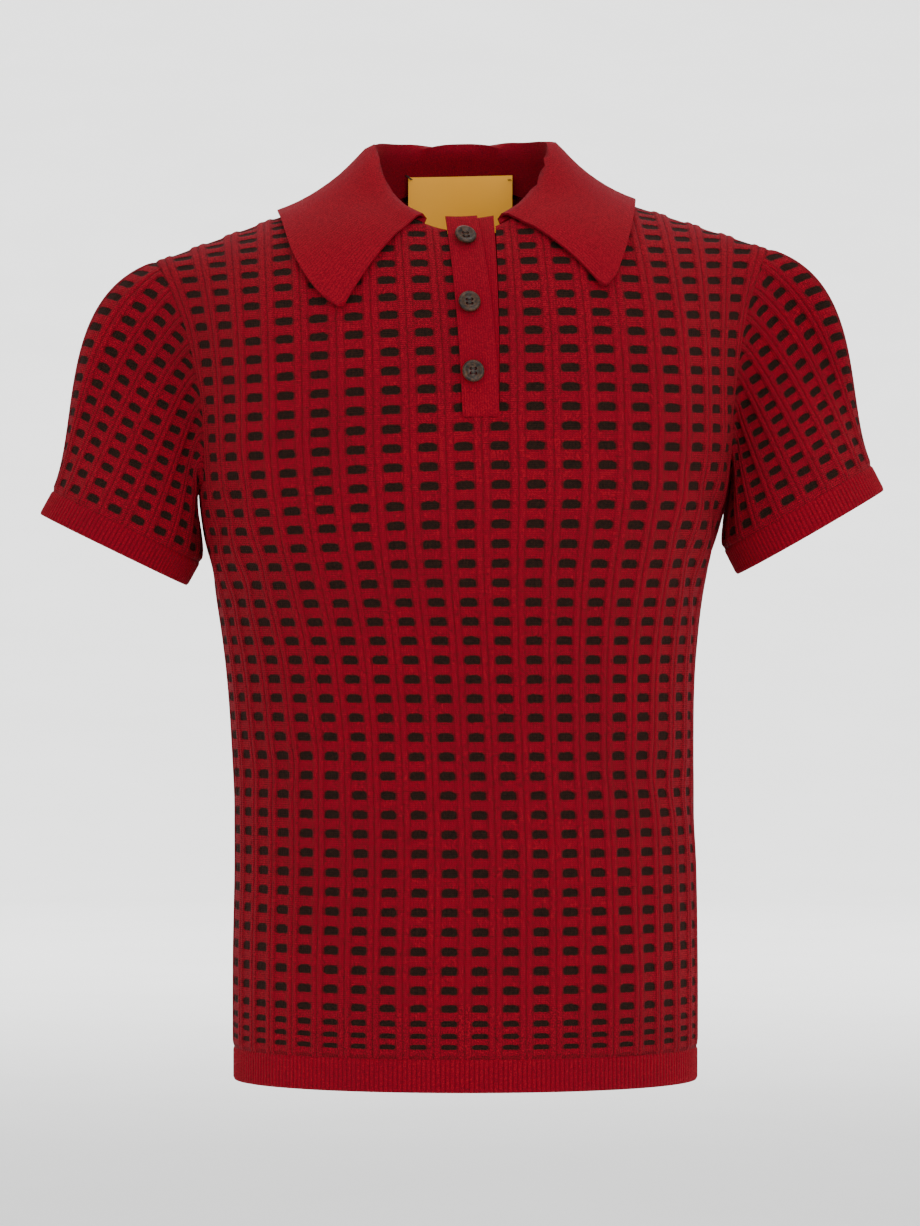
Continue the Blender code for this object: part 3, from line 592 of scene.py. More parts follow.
def panel(name, is_front):
    """A whole panel with its ribs, windows and creases, cut out at the armholes and the slit."""
    columns = int(round(2 * HALF_WALES * STEP_A_WALE)) + 1
    wales = np.linspace(-HALF_WALES, HALF_WALES, columns)
    low_rows = 3 * int((CHEST_Z - HEM_Z - HEM_BAND) / ROW / 3) + 1
    high_rows = 3 * int(UPPER_WALE / ROW / 3) + 1
    middle = panel_middle(wales, is_front, low_rows, high_rows)
    steps = np.linalg.norm(np.diff(middle, axis=0), axis=-1)
    run = np.concatenate([np.zeros((1, columns)), np.cumsum(steps, axis=0)])
    courses = courses_over_band(run)
    centre = np.abs((wales[1:] + wales[:-1]) / 2)
    keep = np.ones((len(middle) - 1, columns - 1), bool)
    keep[low_rows - 1 :, centre > ARMHOLE_WALE] = False
    if is_front:
        keep[low_rows - 1 + YOKE_ROWS :, centre < PLACKET_HALF_WALES] = False
    lift = RIB_RAISE * rib_profile(wales)[None, :] - WINDOW_SINK * window_profile(wales[None, :], courses)
    edge = smoothstep(0.0, 4.0, run[-1] - run) * smoothstep(0.0, 3.0, run)
    creases = crease_lift(name, wales[None, :], middle[..., 2])
    normals = normals_of(middle, False)
    at_seam = np.abs(wales) >= NECK_WALE
    normals[-1, at_seam, 1] = 0.0
    normals[-1] /= np.maximum(np.linalg.norm(normals[-1], axis=1)[:, None], 1e-9)
    middle = middle + normals * (creases * edge)[..., None]
    piece = cloth(f"{name}_cloth", middle, KNIT_WALL, knit, lambda r, c: (wales[c], courses[r, c]),
                  lift * edge, keep, normals=normals)
    dress(piece, name)
    return piece


front = panel("front", True)
back = panel("back", False)

# Sleeves: short set-in sleeves of the same ladder knit, with the wales running from the cap to the cuff. Each
# leaves the armhole in line with the body and turns down to a cuff that stands a little away from the side.
SLEEVE_RIBS = 20
SLEEVE_COURSE = 10.3                   # rung to rung, a little closer than on the body
SLEEVE_ROWS = 84
RIB_PITCH = 18.0                       # rib to rib where the knit isn't stretched
CUFF_BAND = 16.0
CUFF_CENTRE = (205.0, 2.0, -204.0)
CUFF_DROP = 5.0                        # how much lower the right cuff hangs than the left
CUFF_HALF_WIDTH = 47.7
CUFF_HALF_DEPTH = 50.0
SLEEVE_LEAN = 28.0
CAP_PULL = 176.0
CUFF_PULL = 120.0
UNDERARM_PULL = 35.0
UNDERARM_WAY = (0.88, 0.47)            # x and z of the way out at the underarm
OVER_TOP_WAY = (0.34, -0.94)           # x and z of the way down over the top of the arm
OVER_TOP_SHARE = 0.35
SEAM_ALLOWANCE = 2.6


def armhole_line(side, is_front, count, inside):
    """A line from the shoulder seam to the underarm, some wales inside the armhole's edge."""
    sense = side if is_front else -side
    wale = ARMHOLE_WALE - inside
    handles = wale_handles(np.full(80, sense * wale), is_front)
    upper = on_curve(handles, np.linspace(1.0, 0.0, 80))
    turns = np.linspace(0.0, math.pi / 2, 60)[1:]
    places = wale + (1 - np.cos(turns)) * (HALF_WALES - wale)
    lower = torso(CHEST_Z - (UNDERARM_DROP + inside * RIB_PITCH) * np.sin(turns), sense * places, is_front)
    points = np.concatenate([upper, lower])
    run = np.concatenate(([0.0], np.cumsum(np.linalg.norm(np.diff(points, axis=0), axis=1))))
    at = np.linspace(0.0, run[-1], count)
    return np.stack([np.interp(at, run, points[:, k]) for k in range(3)], axis=-1)


def armhole(side, is_front, count):
    """The armhole's edge, the way out of the panel at each of its points, and the panel's normals there."""
    edge = armhole_line(side, is_front, count, 0.0)
    down = np.gradient(edge, axis=0)
    down /= np.linalg.norm(down, axis=1)[:, None]
    away = edge - armhole_line(side, is_front, count, 0.08)
    away -= down * np.sum(away * down, axis=1)[:, None]
    away /= np.linalg.norm(away, axis=1)[:, None]
    return edge, away, np.cross(down, away) * (1.0 if (side > 0) == is_front else -1.0)


def cuff_ring(side, from_end, turns):
    """Points round the cuff at a length from its free end, from the top of the arm round."""
    lean = math.radians(SLEEVE_LEAN)
    axis = np.array([side * math.sin(lean), 0.0, -math.cos(lean)])
    outward = np.array([side * math.cos(lean), 0.0, math.sin(lean)])
    drop = CUFF_DROP * min(side, 0)
    centre = np.array([side * CUFF_CENTRE[0], CUFF_CENTRE[1], CUFF_CENTRE[2] + drop]) - axis * from_end
    return (centre + np.cos(turns)[:, None] * outward * CUFF_HALF_WIDTH
            - np.sin(turns)[:, None] * np.array([0.0, CUFF_HALF_DEPTH, 0.0]))


def sleeve(name, node, side):
    """A sleeve between the armhole's edge and the cuff, with its wales from one to the other."""
    half = SLEEVE_RIBS * STEP_A_WALE // 2
    parts = zip(armhole(side, True, half + 1), armhole(side, False, half + 1))
    start, away, normal = (np.concatenate([a, b[-2:0:-1]]) for a, b in parts)
    for row in (start, away, normal):
        for seam, near in ((0, 1), (half, half - 1)):
            row[seam] = (row[near] + row[-near if seam == 0 else half + 1]) / 2
    turns = np.arange(2 * half) * math.pi / half
    end = cuff_ring(side, CUFF_BAND + SEAM_GAP, turns)
    blend = smoothstep(0.70, 1.0, (1 - np.cos(turns)) / 2)[:, None]
    chord = np.linalg.norm(end - start, axis=1)[:, None]
    low = np.array([side * UNDERARM_WAY[0], 0.0, UNDERARM_WAY[1]])
    pull_out = away * chord * (1 - blend) * (CAP_PULL / chord[0]) + low * UNDERARM_PULL * blend
    over_top = (np.cos(turns)[:, None] + 1) / 2 * OVER_TOP_SHARE
    top_way = np.array([side * OVER_TOP_WAY[0], 0.0, OVER_TOP_WAY[1]])
    lean = math.radians(SLEEVE_LEAN)
    axis = np.array([side * math.sin(lean), 0.0, -math.cos(lean)])
    drop = axis * (1 - over_top) + top_way * over_top
    pull_in = drop * chord * (CUFF_PULL / chord[0])
    rows = [start + away * SEAM_GAP]
    start = start + away * SEAM_ALLOWANCE
    for t in np.linspace(0.0, 1.0, SLEEVE_ROWS):
        rows.append(start * (1 + 2 * t) * (1 - t) ** 2 + end * t * t * (3 - 2 * t)
                    + pull_out * t * (1 - t) ** 2 - pull_in * t * t * (1 - t))
    middle = np.array(rows)[::-1]
    normal = normal / np.linalg.norm(normal, axis=1)[:, None]
    if side > 0:
        middle = middle[:, ::-1]
        normal = normal[::-1]
    normals = normals_of(middle, True)
    normals[-1] = normal
    run = np.concatenate([np.zeros((1, 2 * half)),
                          np.cumsum(np.linalg.norm(np.diff(middle, axis=0), axis=-1), axis=0)])
    courses = (run - 2.0) / SLEEVE_COURSE
    wales = np.arange(2 * half + 1) / STEP_A_WALE
    lift = RIB_RAISE * rib_profile(wales[None, :-1]) - WINDOW_SINK * window_profile(wales[None, :-1], courses)
    lift = lift * smoothstep(0.0, 4.0, run[-1] - run) * smoothstep(0.0, 3.0, run)
    piece = cloth(name, middle, KNIT_WALL, knit, lambda r, c: (wales[c], courses[r, c % (2 * half)]),
                  lift, closed=True, normals=normals)
    dress(piece, node)


sleeve("sleeve_right_cloth", "sleeve_right", -1)
sleeve("sleeve_left_cloth", "sleeve_left", 1)

# Plain trim knit of the bands, collar and placket: the crimson yarn alone, knitted fine and close, so that it
# reads as thin upright lines with a heathered, slightly hairy face. Its UV map "knit" counts stitches.
trim, tree, shader = new_material("plain fine knit, wool")
place, knit_x, knit_y = knit_places(tree)
cell = off_middle(tree, knit_x)
valley = ramp(tree, cell, 0.28, 0.5, "SMOOTHSTEP")
leg = waved(tree, calc(tree, "MULTIPLY_ADD", cell, 0.8, knit_y))
heather = put(tree, "ShaderNodeTexNoise", {"Vector": place, "Scale": YARN_GRAIN, "Detail": 2.5,
                                           "Roughness": 0.7})
patches = put(tree, "ShaderNodeTexNoise", {"Vector": place, "Scale": 16.0, "Detail": 2.0})
speck = ramp(tree, heather.outputs["Fac"], 0.3, 0.7)
crimson = blend(tree, speck, "#56020f", "#9a081e")
worn = ramp(tree, patches.outputs["Fac"], 0.3, 0.7, top=0.2)
crimson = blend(tree, worn, crimson, "#560512")
shade = calc(tree, "MULTIPLY", valley, 0.30)
crimson = blend(tree, shade, crimson, "#2e0207")
height = calc(tree, "MULTIPLY", leg, 0.12)
height = calc(tree, "MULTIPLY_ADD", heather.outputs["Fac"], 0.7, height)
height = calc(tree, "MULTIPLY_ADD", valley, -0.45, height)
surface(tree, shader, crimson, (height, 0.6, 0.0004), Roughness=0.92, Specular_IOR_Level=0.12,
        Sheen_Weight=0.06, Sheen_Roughness=0.45, Sheen_Tint=colour("#e04050"))

# Hem and cuff bands: 1x1 rib in the trim's wool, knitted on to the lower edges. The ribs are real ridges in
# the mesh, and the free edge is drawn in a little and rounded over.
BAND_WALL = 1.8
BAND_RIB = 2.7
BAND_RIB_RAISE = 0.55
RIDGE_POWER = 0.8                      # under 1 makes the ribs fuller than the grooves between them
POINTS_A_RIB = 6
BAND_ROWS = 13
BAND_STITCH = 1.3
EDGE_ROUNDING = 0.5                    # how far a free edge is drawn in


def band(name, node, rows):
    """A rib band through rings of points from its free edge up."""
    middle = np.array(rows)
    count = middle.shape[1]
    ribs = np.arange(count + 1) / POINTS_A_RIB
    run = np.concatenate([[0.0], np.cumsum(np.linalg.norm(np.diff(middle[:, 0], axis=0), axis=-1))])
    ridge = np.abs(np.cos(np.pi * ribs[None, :-1])) ** RIDGE_POWER
    edge = smoothstep(-1.2, 1.8, run)[:, None] * smoothstep(-1.0, 1.5, run[-1] - run)[:, None]
    lift = BAND_RIB_RAISE * ridge * edge - EDGE_ROUNDING * (1 - edge)
    piece = cloth(name, middle, BAND_WALL, trim, lambda r, c: (ribs[c] + 0.5, run[r] / BAND_STITCH),
                  lift, closed=True)
    dress(piece, node)


hem_length = sum(half_ring(RINGS[0][1], RINGS[0][k], RINGS[0][5], SHARES)[2] for k in (2, 3))
hem_half = int(round(hem_length / BAND_RIB / 2)) * POINTS_A_RIB
hem_wales = (np.arange(hem_half) + 0.5) / hem_half * 2 * HALF_WALES - HALF_WALES
hem_rows = [np.concatenate([torso(z, hem_wales, True), torso(z, hem_wales, False)])
            for z in np.linspace(HEM_Z, HEM_Z + HEM_BAND, BAND_ROWS)]
band("hem_band_cloth", "hem_band", hem_rows)
cuff_ribs = int(round(math.pi * (CUFF_HALF_WIDTH + CUFF_HALF_DEPTH) / BAND_RIB))
cuff_turns = np.arange(cuff_ribs * POINTS_A_RIB) * 2 * math.pi / (cuff_ribs * POINTS_A_RIB)
for side, hand in ((-1, "right"), (1, "left")):
    cuff_rows = [cuff_ring(side, from_end, -side * cuff_turns)
                 for from_end in np.linspace(0.0, CUFF_BAND, BAND_ROWS)]
    band(f"cuff_{hand}_cloth", f"cuff_{hand}", cuff_rows)

# Placket: two plain strips on the slit of the front, wearer's right over left. The upper strip is sewn to the
# slit's one edge and across its lower end, the lower strip to the other edge, and both end at the neck seam.
STRIP_WALL = 1.5
PLACKET_LIFT = 1.9
PLACKET_TOP = 0.045                    # share of a wale's curve that the strips run past the neck seam
STRIP_WIDTH = 19.0
STRIP_LENGTH = 120.0
STRIP_COLUMNS = 28
STRIP_ROWS = 100
STRIP_ROW = 1.2                        # length of strip to a mesh row
FINE_STITCH = 1.3


def strip(name, node, left_wales, right_wales, lift):
    """A placket strip between two wales at its lower end and two at the neck, lifted off the panel."""
    rows = []
    for part in np.linspace(0.0, 1.0, STRIP_ROWS):
        wales = np.linspace(left_wales[0] + (left_wales[1] - left_wales[0]) * part,
                            right_wales[0] + (right_wales[1] - right_wales[0]) * part, STRIP_COLUMNS)
        handles = wale_handles(wales, True)
        first = PLACKET_BOTTOM / (3 * CLIMB * (handles[3][:, 2] - CHEST_Z))
        points = on_curve(handles, first + part * (wale_ends(handles, wales, True) + PLACKET_TOP - first))
        rows.append(spread_slit(points, wales, part))
    middle = np.array(rows)
    middle = middle + normals_of(middle, False) * lift
    wide = np.linspace(0.0, 1.0, STRIP_COLUMNS)
    tall = np.linspace(0.0, 1.0, STRIP_ROWS)
    near_edge = np.minimum(wide, 1 - wide)[None, :] * STRIP_WIDTH
    near_end = np.minimum(tall, 1 - tall)[:, None] * STRIP_LENGTH
    rounding = -EDGE_ROUNDING * (1 - smoothstep(-0.6, 1.6, near_edge) * smoothstep(-0.6, 1.6, near_end))
    piece = cloth(name, middle, STRIP_WALL, trim,
                  lambda r, c: (wide[c] * STRIP_WIDTH / FINE_STITCH, r * STRIP_ROW / FINE_STITCH), rounding)
    dress(piece, node)


strip("placket_under_cloth", "placket_under", (-0.49, -0.19), (0.49, 0.49), 0.0)
strip("placket_over_cloth", "placket_over", (-0.52, -0.52), (0.5, 0.14), PLACKET_LIFT)

# Collar: one strip of the plain trim knit, folded over a stand that is sewn just inside the neck opening. The
# fall lies on the shoulders and the chest and ends in two points. Seam, fold and edge each follow their line.
COLLAR_WALL = 2.0
COLLAR_END_ANGLE = 160.0
COLLAR_STATIONS = 163
COLLAR_POINTS = 46
COLLAR_LENGTH = 410.0                  # along the neck seam, for the knit's stitches
TIP_ROUNDING = 1.6                     # mesh cells over which the two tips are rounded
FOLD_RADIUS = 3.2
FOLD_HALF_WIDTH = 49.0
FOLD_FRONT_DEPTH = 66.0
FOLD_BACK_DEPTH = 42.0
FOLD_HEIGHT = 32.0
FOLD_DROP = 53.0
FOLD_SHOULDER = 3.0                    # how far the fold sinks where it turns to the front
FOLD_OPENING = 8.0                     # how much wider the fold gets towards the front
STAND_OUTSIDE = 1.0                    # where the neck seam is looked for, past the neck opening's edge
STAND_INSIDE = 2.0                     # how far inside that edge the stand is sewn
NECK_SEAM = (-4.5, 16.5, 4.0)          # first guess at its height: middle, nape's rise, sides' rise
COLLAR_SEAT = 4.6                      # middle of the fall over the middle of the panel it lies on
FIRST_FALL_ROW = 16                    # mesh rows from here on lie on the body
RAY_START = -400.0                     # a place well before the chest
# angle from the centre back, x, y, z
RIGHT_EDGE_BEHIND = ((0.0, 0.0, 80.0, -27.0), (30.0, 46.0, 76.0, -31.0), (60.0, 84.0, 54.0, -26.0),
                     (90.0, 105.0, 22.0, -17.0), (112.0, 107.0, -2.0, -17.0))
LEFT_EDGE_BEHIND = ((0.0, 0.0, 80.0, -27.0), (30.0, 44.0, 76.0, -29.0), (60.0, 80.0, 54.0, -22.0),
                    (90.0, 98.0, 22.0, -12.0), (112.0, 100.0, -2.0, -12.0))
# angle from the centre back, x, z
RIGHT_EDGE_BEFORE = ((125.0, 102.0, -27.0), (137.0, 97.0, -42.0), (148.0, 88.0, -58.0), (156.0, 78.0, -70.5),
                     (160.0, 68.5, -77.5))
LEFT_EDGE_BEFORE = ((125.0, 97.0, -26.0), (137.0, 93.0, -41.0), (148.0, 89.0, -52.0), (156.0, 85.5, -60.0),
                    (160.0, 80.5, -65.0))

bm = bmesh.new()
for is_front in (True, False):
    wales = np.linspace(-ARMHOLE_WALE, ARMHOLE_WALE, 75)
    yoke = tilt(panel_middle(wales, is_front, 4, 40)[3:])
    verts = [[bm.verts.new(Vector(point)) for point in row] for row in yoke]
    for r in range(len(verts) - 1):
        for c in range(len(verts[0]) - 1):
            bm.faces.new((verts[r][c], verts[r][c + 1], verts[r + 1][c + 1], verts[r + 1][c]))
bm.normal_update()
body = BVHTree.FromBMesh(bm)
bm.free()


def outward(normal, at):
    """Turns a normal of the body to point away from the chest's middle."""
    return normal if normal.dot(Vector((at.x, at.y, at.z + 150.0))) > 0 else -normal


def collar_edge(side, angle):
    """Where the fall's edge lies on the body at an angle from the centre back."""
    behind = RIGHT_EDGE_BEHIND if side < 0 else LEFT_EDGE_BEHIND
    before = RIGHT_EDGE_BEFORE if side < 0 else LEFT_EDGE_BEFORE
    if angle <= behind[-1][0]:
        x, y, z = (float(through_rows(behind, k, angle)) for k in (1, 2, 3))
        hit = body.find_nearest(Vector((side * x, y, z)))
    else:
        first = collar_edge(side, behind[-1][0])[0]
        table = ((behind[-1][0], side * first.x, first.z),) + before
        x, z = (float(through_rows(table, k, angle)) for k in (1, 2))
        hit = body.ray_cast(Vector((side * x, RAY_START, z)), Vector((0.0, 1.0, 0.0)))
        if hit[0] is None:
            hit = body.find_nearest(Vector((side * x, 0.0, z)))
    return hit[0], outward(hit[1], hit[0])


def lifted(point, seat):
    """Moves a point out until it lies at least seat from the body."""
    place, normal, _, _ = body.find_nearest(point)
    normal = outward(normal, place)
    return point + normal * max(seat - (point - place).dot(normal), 0.0)


def collar_section(signed_angle):
    """The collar's middle line at an angle: up the stand, over the fold and down the fall."""
    side = -1.0 if signed_angle < 0 else 1.0
    angle = abs(signed_angle)
    turn = math.radians(angle)
    neck = NECK_BACK_DEPTH if angle < 90.0 else NECK_FRONT_DEPTH
    x = side * (NECK_HALF_WIDTH + STAND_OUTSIDE) * math.sin(turn)
    y = SHOULDER_Y + (neck + STAND_OUTSIDE) * math.cos(turn)
    z = NECK_SEAM[1] * math.cos(turn) + NECK_SEAM[0] + NECK_SEAM[2] * math.sin(turn) ** 2 + SHOULDER_TILT * x
    seam = body.find_nearest(Vector((x, y, z)))[0]
    base = Vector((side * (NECK_HALF_WIDTH - STAND_INSIDE) * math.sin(turn),
                   SHOULDER_Y + (neck - STAND_INSIDE) * math.cos(turn), seam.z - 0.5))
    depth = FOLD_BACK_DEPTH if angle < 90.0 else FOLD_FRONT_DEPTH
    height = FOLD_HEIGHT - FOLD_DROP * float(smoothstep(95.0, 165.0, angle))
    height -= FOLD_SHOULDER * math.exp(-(((angle - 92.0) / 16.0) ** 2))
    half_width = FOLD_HALF_WIDTH + FOLD_OPENING * float(smoothstep(95.0, 140.0, angle))
    fold = Vector((side * half_width * math.sin(turn), SHOULDER_Y + depth * math.cos(turn), height))
    fold.z = max(fold.z + SHOULDER_TILT * fold.x, base.z + 5.0)
    edge, up = collar_edge(side, angle)
    edge = edge + up * COLLAR_SEAT
    out = Vector((edge.x - fold.x, edge.y - fold.y, 0.0)).normalized()
    crown = fold + out * FOLD_RADIUS
    points = [base, base.lerp(fold, 0.5) + out * 0.6, fold - Vector((0, 0, FOLD_RADIUS * 0.9))]
    for bend in (150.0, 120.0, 90.0, 62.0, 35.0):
        a = math.radians(bend)
        over = Vector((0, 0, FOLD_RADIUS * (math.sin(a) - 1.0)))
        points.append(crown + out * FOLD_RADIUS * math.cos(a) + over)
    start = points[-1] = lifted(points[-1], COLLAR_SEAT)
    fall = edge - start
    bulge = Vector((0.0, 0.0, (0.05 - 0.15 * math.sin(turn) ** 4) * fall.length))
    points += [start + fall * share + bulge * (4 * share * (1 - share))
               for share in np.linspace(0.1, 1.0, 10)]
    points = np.array(points)
    run = np.concatenate(([0.0], np.cumsum(np.linalg.norm(np.diff(points, axis=0), axis=1))))
    at = np.linspace(0.0, run[-1], COLLAR_POINTS)
    return np.stack([np.interp(at, run, points[:, k]) for k in range(3)], axis=-1), run[-1]


def evened(line, rounds):
    """Smooths a grid of points along and across, and keeps its border."""
    for _ in range(rounds):
        line[1:-1] = (line[:-2] + 2 * line[1:-1] + line[2:]) / 4
        line[:, 1:-1] = (line[:, :-2] + 2 * line[:, 1:-1] + line[:, 2:]) / 4
    return line


collar_angles = np.linspace(-COLLAR_END_ANGLE, COLLAR_END_ANGLE, COLLAR_STATIONS)
sections = [collar_section(angle) for angle in collar_angles]
middle = evened(np.array([section[0] for section in sections]), 3).transpose(1, 0, 2)
for row in middle[FIRST_FALL_ROW:]:
    for station in range(COLLAR_STATIONS):
        row[station] = lifted(Vector(row[station]), COLLAR_SEAT - 0.4)
middle = evened(middle.copy(), 2)
middle[..., 2] -= SHOULDER_TILT * middle[..., 0] * smoothstep(*TILTED, middle[..., 2])
middle = middle[:, ::-1]
long_way = np.linspace(0.0, 1.0, COLLAR_STATIONS)
across_way = np.linspace(0.0, 1.0, COLLAR_POINTS)
collar_width = float(np.median([section[1] for section in sections]))
in_from_end = np.minimum(long_way, 1 - long_way)[None, :] * (COLLAR_STATIONS - 1)
in_from_edge = (1 - across_way)[:, None] * (COLLAR_POINTS - 1)
near_end = np.clip(1 - in_from_end / TIP_ROUNDING, 0.0, 1.0)
near_edge = np.clip(1 - in_from_edge / TIP_ROUNDING, 0.0, 1.0)
in_from_end = in_from_end + TIP_ROUNDING * near_end * (1 - np.sqrt(1 - near_edge * near_edge / 2))
in_from_edge = in_from_edge + TIP_ROUNDING * near_edge * (1 - np.sqrt(1 - near_end * near_end / 2))
late = (long_way > 0.5)[None, :]
station = np.clip(np.where(late, COLLAR_STATIONS - 1 - in_from_end, in_from_end), 0, COLLAR_STATIONS - 1.001)
row = np.clip(COLLAR_POINTS - 1 - in_from_edge, 0, COLLAR_POINTS - 1.001)
s0 = station.astype(int)
r0 = row.astype(int)
s1 = (station - s0)[..., None]
r1 = (row - r0)[..., None]
middle = ((middle[r0, s0] * (1 - s1) + middle[r0, s0 + 1] * s1) * (1 - r1)
          + (middle[r0 + 1, s0] * (1 - s1) + middle[r0 + 1, s0 + 1] * s1) * r1)
from_end = np.minimum(long_way, 1 - long_way)[None, :] * COLLAR_LENGTH
from_edge = (1 - across_way)[:, None] * collar_width
rounding = -0.55 * (1 - smoothstep(-1.0, 2.0, from_end) * smoothstep(-1.0, 2.0, from_edge))
collar = cloth("collar_cloth", middle, COLLAR_WALL, trim,
               lambda r, c: (long_way[c] * COLLAR_LENGTH / FINE_STITCH,
                             across_way[r] * collar_width / FINE_STITCH),
               rounding)
dress(collar, "collar")

# Buttons: 12.7 mm four-hole buttons turned from mottled brown horn-like resin, with a raised rim and a dished
# middle. Each is sewn through the upper strip with brown thread and faces a little to the side.
BUTTON_DIAMETER = 12.7
# radius, height
BUTTON_PROFILE = ((0.0, 1.5), (2.6, 1.5), (3.5, 1.7), (4.3, 2.3), (5.0, 2.6), (5.7, 2.55), (6.2, 2.1),
                  (6.35, 1.5), (6.2, 0.7), (5.6, 0.15), (4.8, 0.0), (0.0, 0.0))
BUTTON_HOLE = 0.95
BUTTON_HOLE_RING = 1.85
BUTTON_AIR = 0.3                       # between the strip's face and the button's back
DRILL_LENGTH = 12.0
THREAD_RADIUS = 0.34
STITCH_FLATNESS = 0.45                 # half rings of thread, pressed flat and raised to the face
STITCH_RAISE = 1.25
BUTTON_PLACES = ((1.8, -35.0, 15.0), (4.1, -73.0, 8.0), (6.2, -112.0, 8.0))   # x, z, turn in degrees

horn, tree, shader = new_material("mottled horn resin, polished")
place = put(tree, "ShaderNodeTexCoord")
cloud = put(tree, "ShaderNodeTexNoise", {"Vector": place.outputs["Object"], "Scale": 420.0, "Detail": 4.0,
                                         "Distortion": 1.2})
mottle = ramp(tree, cloud.outputs["Fac"], 0.35, 0.68)
tone = blend(tree, mottle, "#0d0703", "#4a2f1a")
surface(tree, shader, tone, (cloud.outputs["Fac"], 0.1, 0.0002), Roughness=0.42, Specular_IOR_Level=0.3)

thread, tree, shader = new_material("sewing thread, brown polyester")
place = put(tree, "ShaderNodeTexCoord")
twist = put(tree, "ShaderNodeTexWave", {"Vector": place.outputs["Object"], "Scale": 900.0},
            bands_direction="DIAGONAL")
tone = blend(tree, twist.outputs["Fac"], "#0c0603", "#2c1c12")
surface(tree, shader, tone, Roughness=0.7)


def moved(bm, facing, place):
    """Turns a piece made round the Z axis to face a way, and puts it in its place."""
    turn = facing.to_track_quat("Z", "Y").to_matrix()
    bmesh.ops.rotate(bm, verts=bm.verts[:], cent=(0, 0, 0), matrix=turn)
    bmesh.ops.translate(bm, verts=bm.verts[:], vec=place)
    bmesh.ops.scale(bm, verts=bm.verts[:], vec=(MM, MM, MM))
    return bm


def turned(profile, segments):
    """Spins a profile of radii and heights into a closed piece round the Z axis."""
    bm = bmesh.new()
    verts = [bm.verts.new((radius, 0.0, height)) for radius, height in profile]
    edges = [bm.edges.new(pair) for pair in zip(verts, verts[1:])]
    bmesh.ops.spin(bm, geom=verts + edges, cent=(0, 0, 0), axis=(0, 0, 1), angle=2 * math.pi, steps=segments,
                   use_merge=True)
    bmesh.ops.remove_doubles(bm, verts=bm.verts[:], dist=1e-4)
    bmesh.ops.recalc_face_normals(bm, faces=bm.faces[:])
    return bm


for number, (x, z, turn) in enumerate(BUTTON_PLACES, 1):
    hit = body.ray_cast(Vector((x, RAY_START, z)), Vector((0.0, 1.0, 0.0)))
    normal = outward(hit[1], hit[0])
    seat = PLACKET_LIFT + STRIP_WALL / 2 + BUTTON_AIR + math.sin(math.radians(turn)) * BUTTON_DIAMETER / 2
    facing = (normal + Vector((math.sin(math.radians(turn)), 0.0, 0.0))).normalized()
    spot = hit[0] + normal * seat
    disc = link_piece(f"button_{number}_turned", moved(turned(BUTTON_PROFILE, 48), facing, spot), horn)
    bm = bmesh.new()
    for k in range(4):
        corner = math.radians(45 + 90 * k)
        drill = bmesh.ops.create_cone(bm, cap_ends=True, segments=16, radius1=BUTTON_HOLE,
                                      radius2=BUTTON_HOLE, depth=DRILL_LENGTH)["verts"]
        bmesh.ops.translate(bm, verts=drill, vec=(BUTTON_HOLE_RING * math.cos(corner),
                                                  BUTTON_HOLE_RING * math.sin(corner), 0.0))
    drills = link_piece(f"drills_{number}", moved(bm, facing, spot), horn)
    cut = disc.modifiers.new("holes", "BOOLEAN")
    cut.object = drills
    cut.operation = "DIFFERENCE"
    drilled = bpy.data.meshes.new_from_object(disc.evaluated_get(bpy.context.evaluated_depsgraph_get()))
    disc.modifiers.clear()
    disc.data = drilled
    bpy.data.objects.remove(drills, do_unlink=True)
    disc.data.shade_smooth()
    disc.data.set_sharp_from_angle(angle=math.radians(40))
    bm = bmesh.new()
    reach = BUTTON_HOLE_RING * math.sin(math.radians(45))
    for row in (-reach, reach):
        ring = bmesh.ops.create_circle(bm, segments=8, radius=THREAD_RADIUS)["verts"]
        upright = Vector((1, 0, 0)).to_track_quat("Z", "Y").to_matrix()
        bmesh.ops.rotate(bm, verts=ring, cent=(0, 0, 0), matrix=upright)
        bmesh.ops.translate(bm, verts=ring, vec=(0.0, row, reach))
        rim = [edge for edge in bm.edges if edge.verts[0] in ring and edge.verts[1] in ring]
        bmesh.ops.rotate(bm, verts=ring, cent=(0, row, 0),
                         matrix=Vector((0, 0, 1)).rotation_difference(Vector((-1, 0, 0))).to_matrix())
        bmesh.ops.spin(bm, geom=ring + rim, cent=(0, row, 0), axis=(0, 1, 0), angle=math.pi, steps=12)
    for vert in bm.verts:
        vert.co.z = vert.co.z * STITCH_FLATNESS + STITCH_RAISE
    bmesh.ops.recalc_face_normals(bm, faces=bm.faces[:])
    stitches = link_piece(f"button_{number}_thread", moved(bm, facing, spot), thread)
    for piece in (disc, stitches):
        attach(piece, "root")
    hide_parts(f"button_{number}")

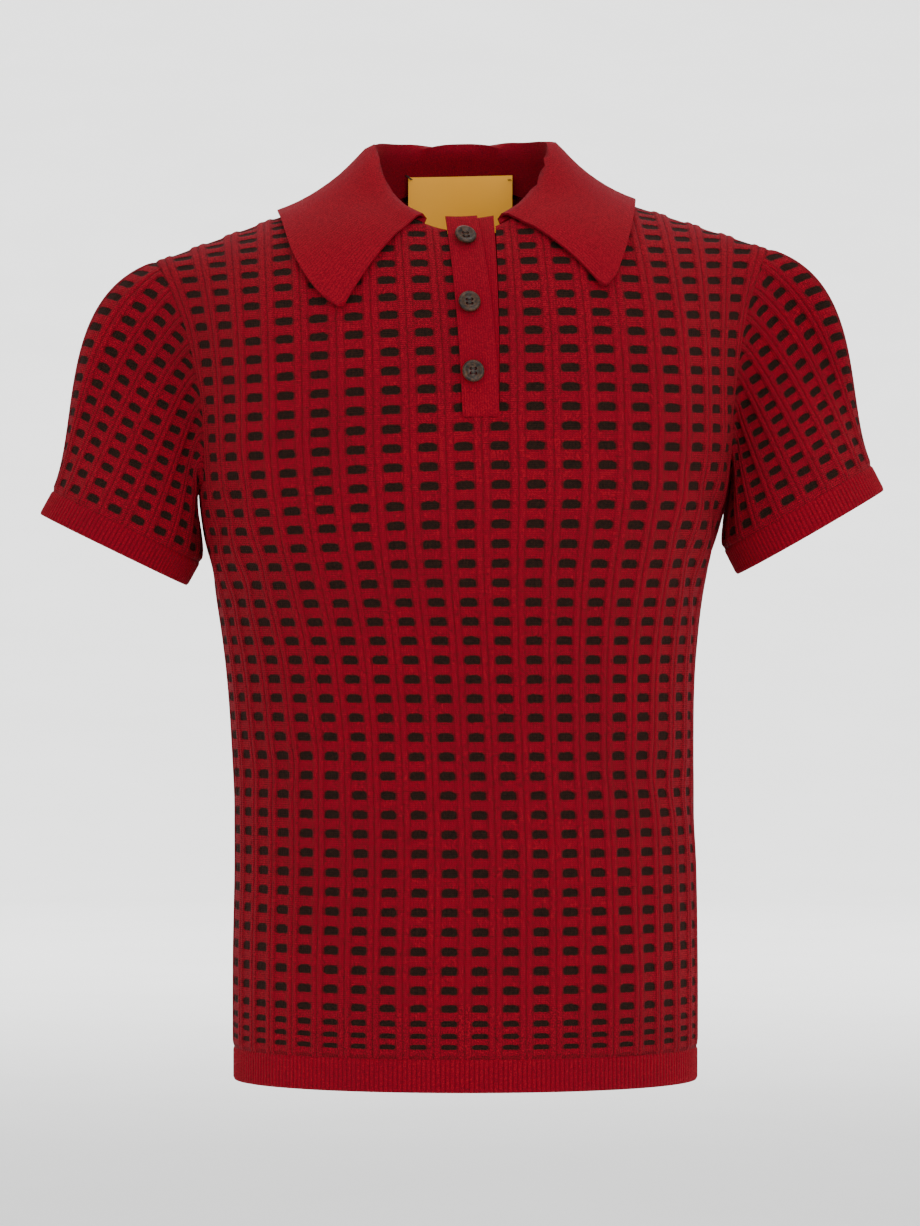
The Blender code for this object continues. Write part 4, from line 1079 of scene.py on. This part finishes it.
# Neck label: a blank amber label of woven polyester satin, cut square and tacked to the collar's stand at its
# two upper corners, so that it hangs free inside the back of the neck.
LABEL_SIZE = (62.0, 34.0)
LABEL_TOP = (-1.0, 43.8, 11.5)
LABEL_LEAN = 7.0
LABEL_WALL = 0.7
LABEL_COLUMNS = 43
LABEL_ROWS = 25
LABEL_YARN = 0.8
LABEL_SAG = 1.6                        # how far its middle hangs back
LABEL_WAVE = 1.2
TACKS = (("right", -30.2), ("left", 28.2))   # side, x
TACK_PLACE = (42.2, 9.6)               # y and z of the label's end of each
TACK_STITCHES = (-0.8, 0.0, 0.8)
TACK_RADIUS = 0.22
TACK_REACH = 0.6                       # how far a stitch runs into the cloth, both ends together

satin, tree, shader = new_material("woven label satin, polyester")
_, knit_x, knit_y = knit_places(tree)
weave = calc(tree, "MULTIPLY", waved(tree, knit_x), waved(tree, knit_y))
tint = ramp(tree, weave, -1.0, 1.0)
tone = blend(tree, tint, "#ffa60c", "#ffb91c")
surface(tree, shader, tone, (weave, 0.2, 0.0001), Roughness=0.55, Sheen_Weight=0.2)

wide = np.linspace(1.0, 0.0, LABEL_COLUMNS)
down = np.linspace(1.0, 0.0, LABEL_ROWS)[:, None]
lean = math.radians(LABEL_LEAN)
sag = LABEL_SAG * np.sin(np.pi * wide)[None, :] * (1 - 0.3 * down)
sag = sag - LABEL_WAVE * down * np.cos(2 * np.pi * wide)[None, :]
middle = np.stack(np.broadcast_arrays(
    LABEL_TOP[0] + LABEL_SIZE[0] * (wide[None, :] - 0.5),
    LABEL_TOP[1] + LABEL_SIZE[1] * down * math.sin(lean) + sag,
    LABEL_TOP[2] - LABEL_SIZE[1] * down * math.cos(lean)), axis=-1)
label = cloth("label_cloth", middle[:, ::-1], LABEL_WALL, satin,
              lambda r, c: (c * LABEL_SIZE[0] / LABEL_COLUMNS / LABEL_YARN,
                            r * LABEL_SIZE[1] / LABEL_ROWS / LABEL_YARN))
dress(label, "label")
stand = [vert.co / MM for vert in collar.data.vertices
         if abs(vert.co.z / MM - 10.0) < 2.5 and vert.co.y > 30.0 * MM]
for hand, x in TACKS:
    start = Vector((x, *TACK_PLACE))
    end = min(stand, key=lambda point: (point - start).length)
    bm = bmesh.new()
    for offset in TACK_STITCHES:
        rod = bmesh.ops.create_cone(bm, cap_ends=True, segments=8, radius1=TACK_RADIUS, radius2=TACK_RADIUS,
                                    depth=(end - start).length + TACK_REACH)["verts"]
        bmesh.ops.translate(bm, verts=rod, vec=(offset, 0.0, 0.0))
    tack = link_piece(f"label_tack_{hand}", moved(bm, (end - start).normalized(), (start + end) / 2), thread)
    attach(tack, "root")
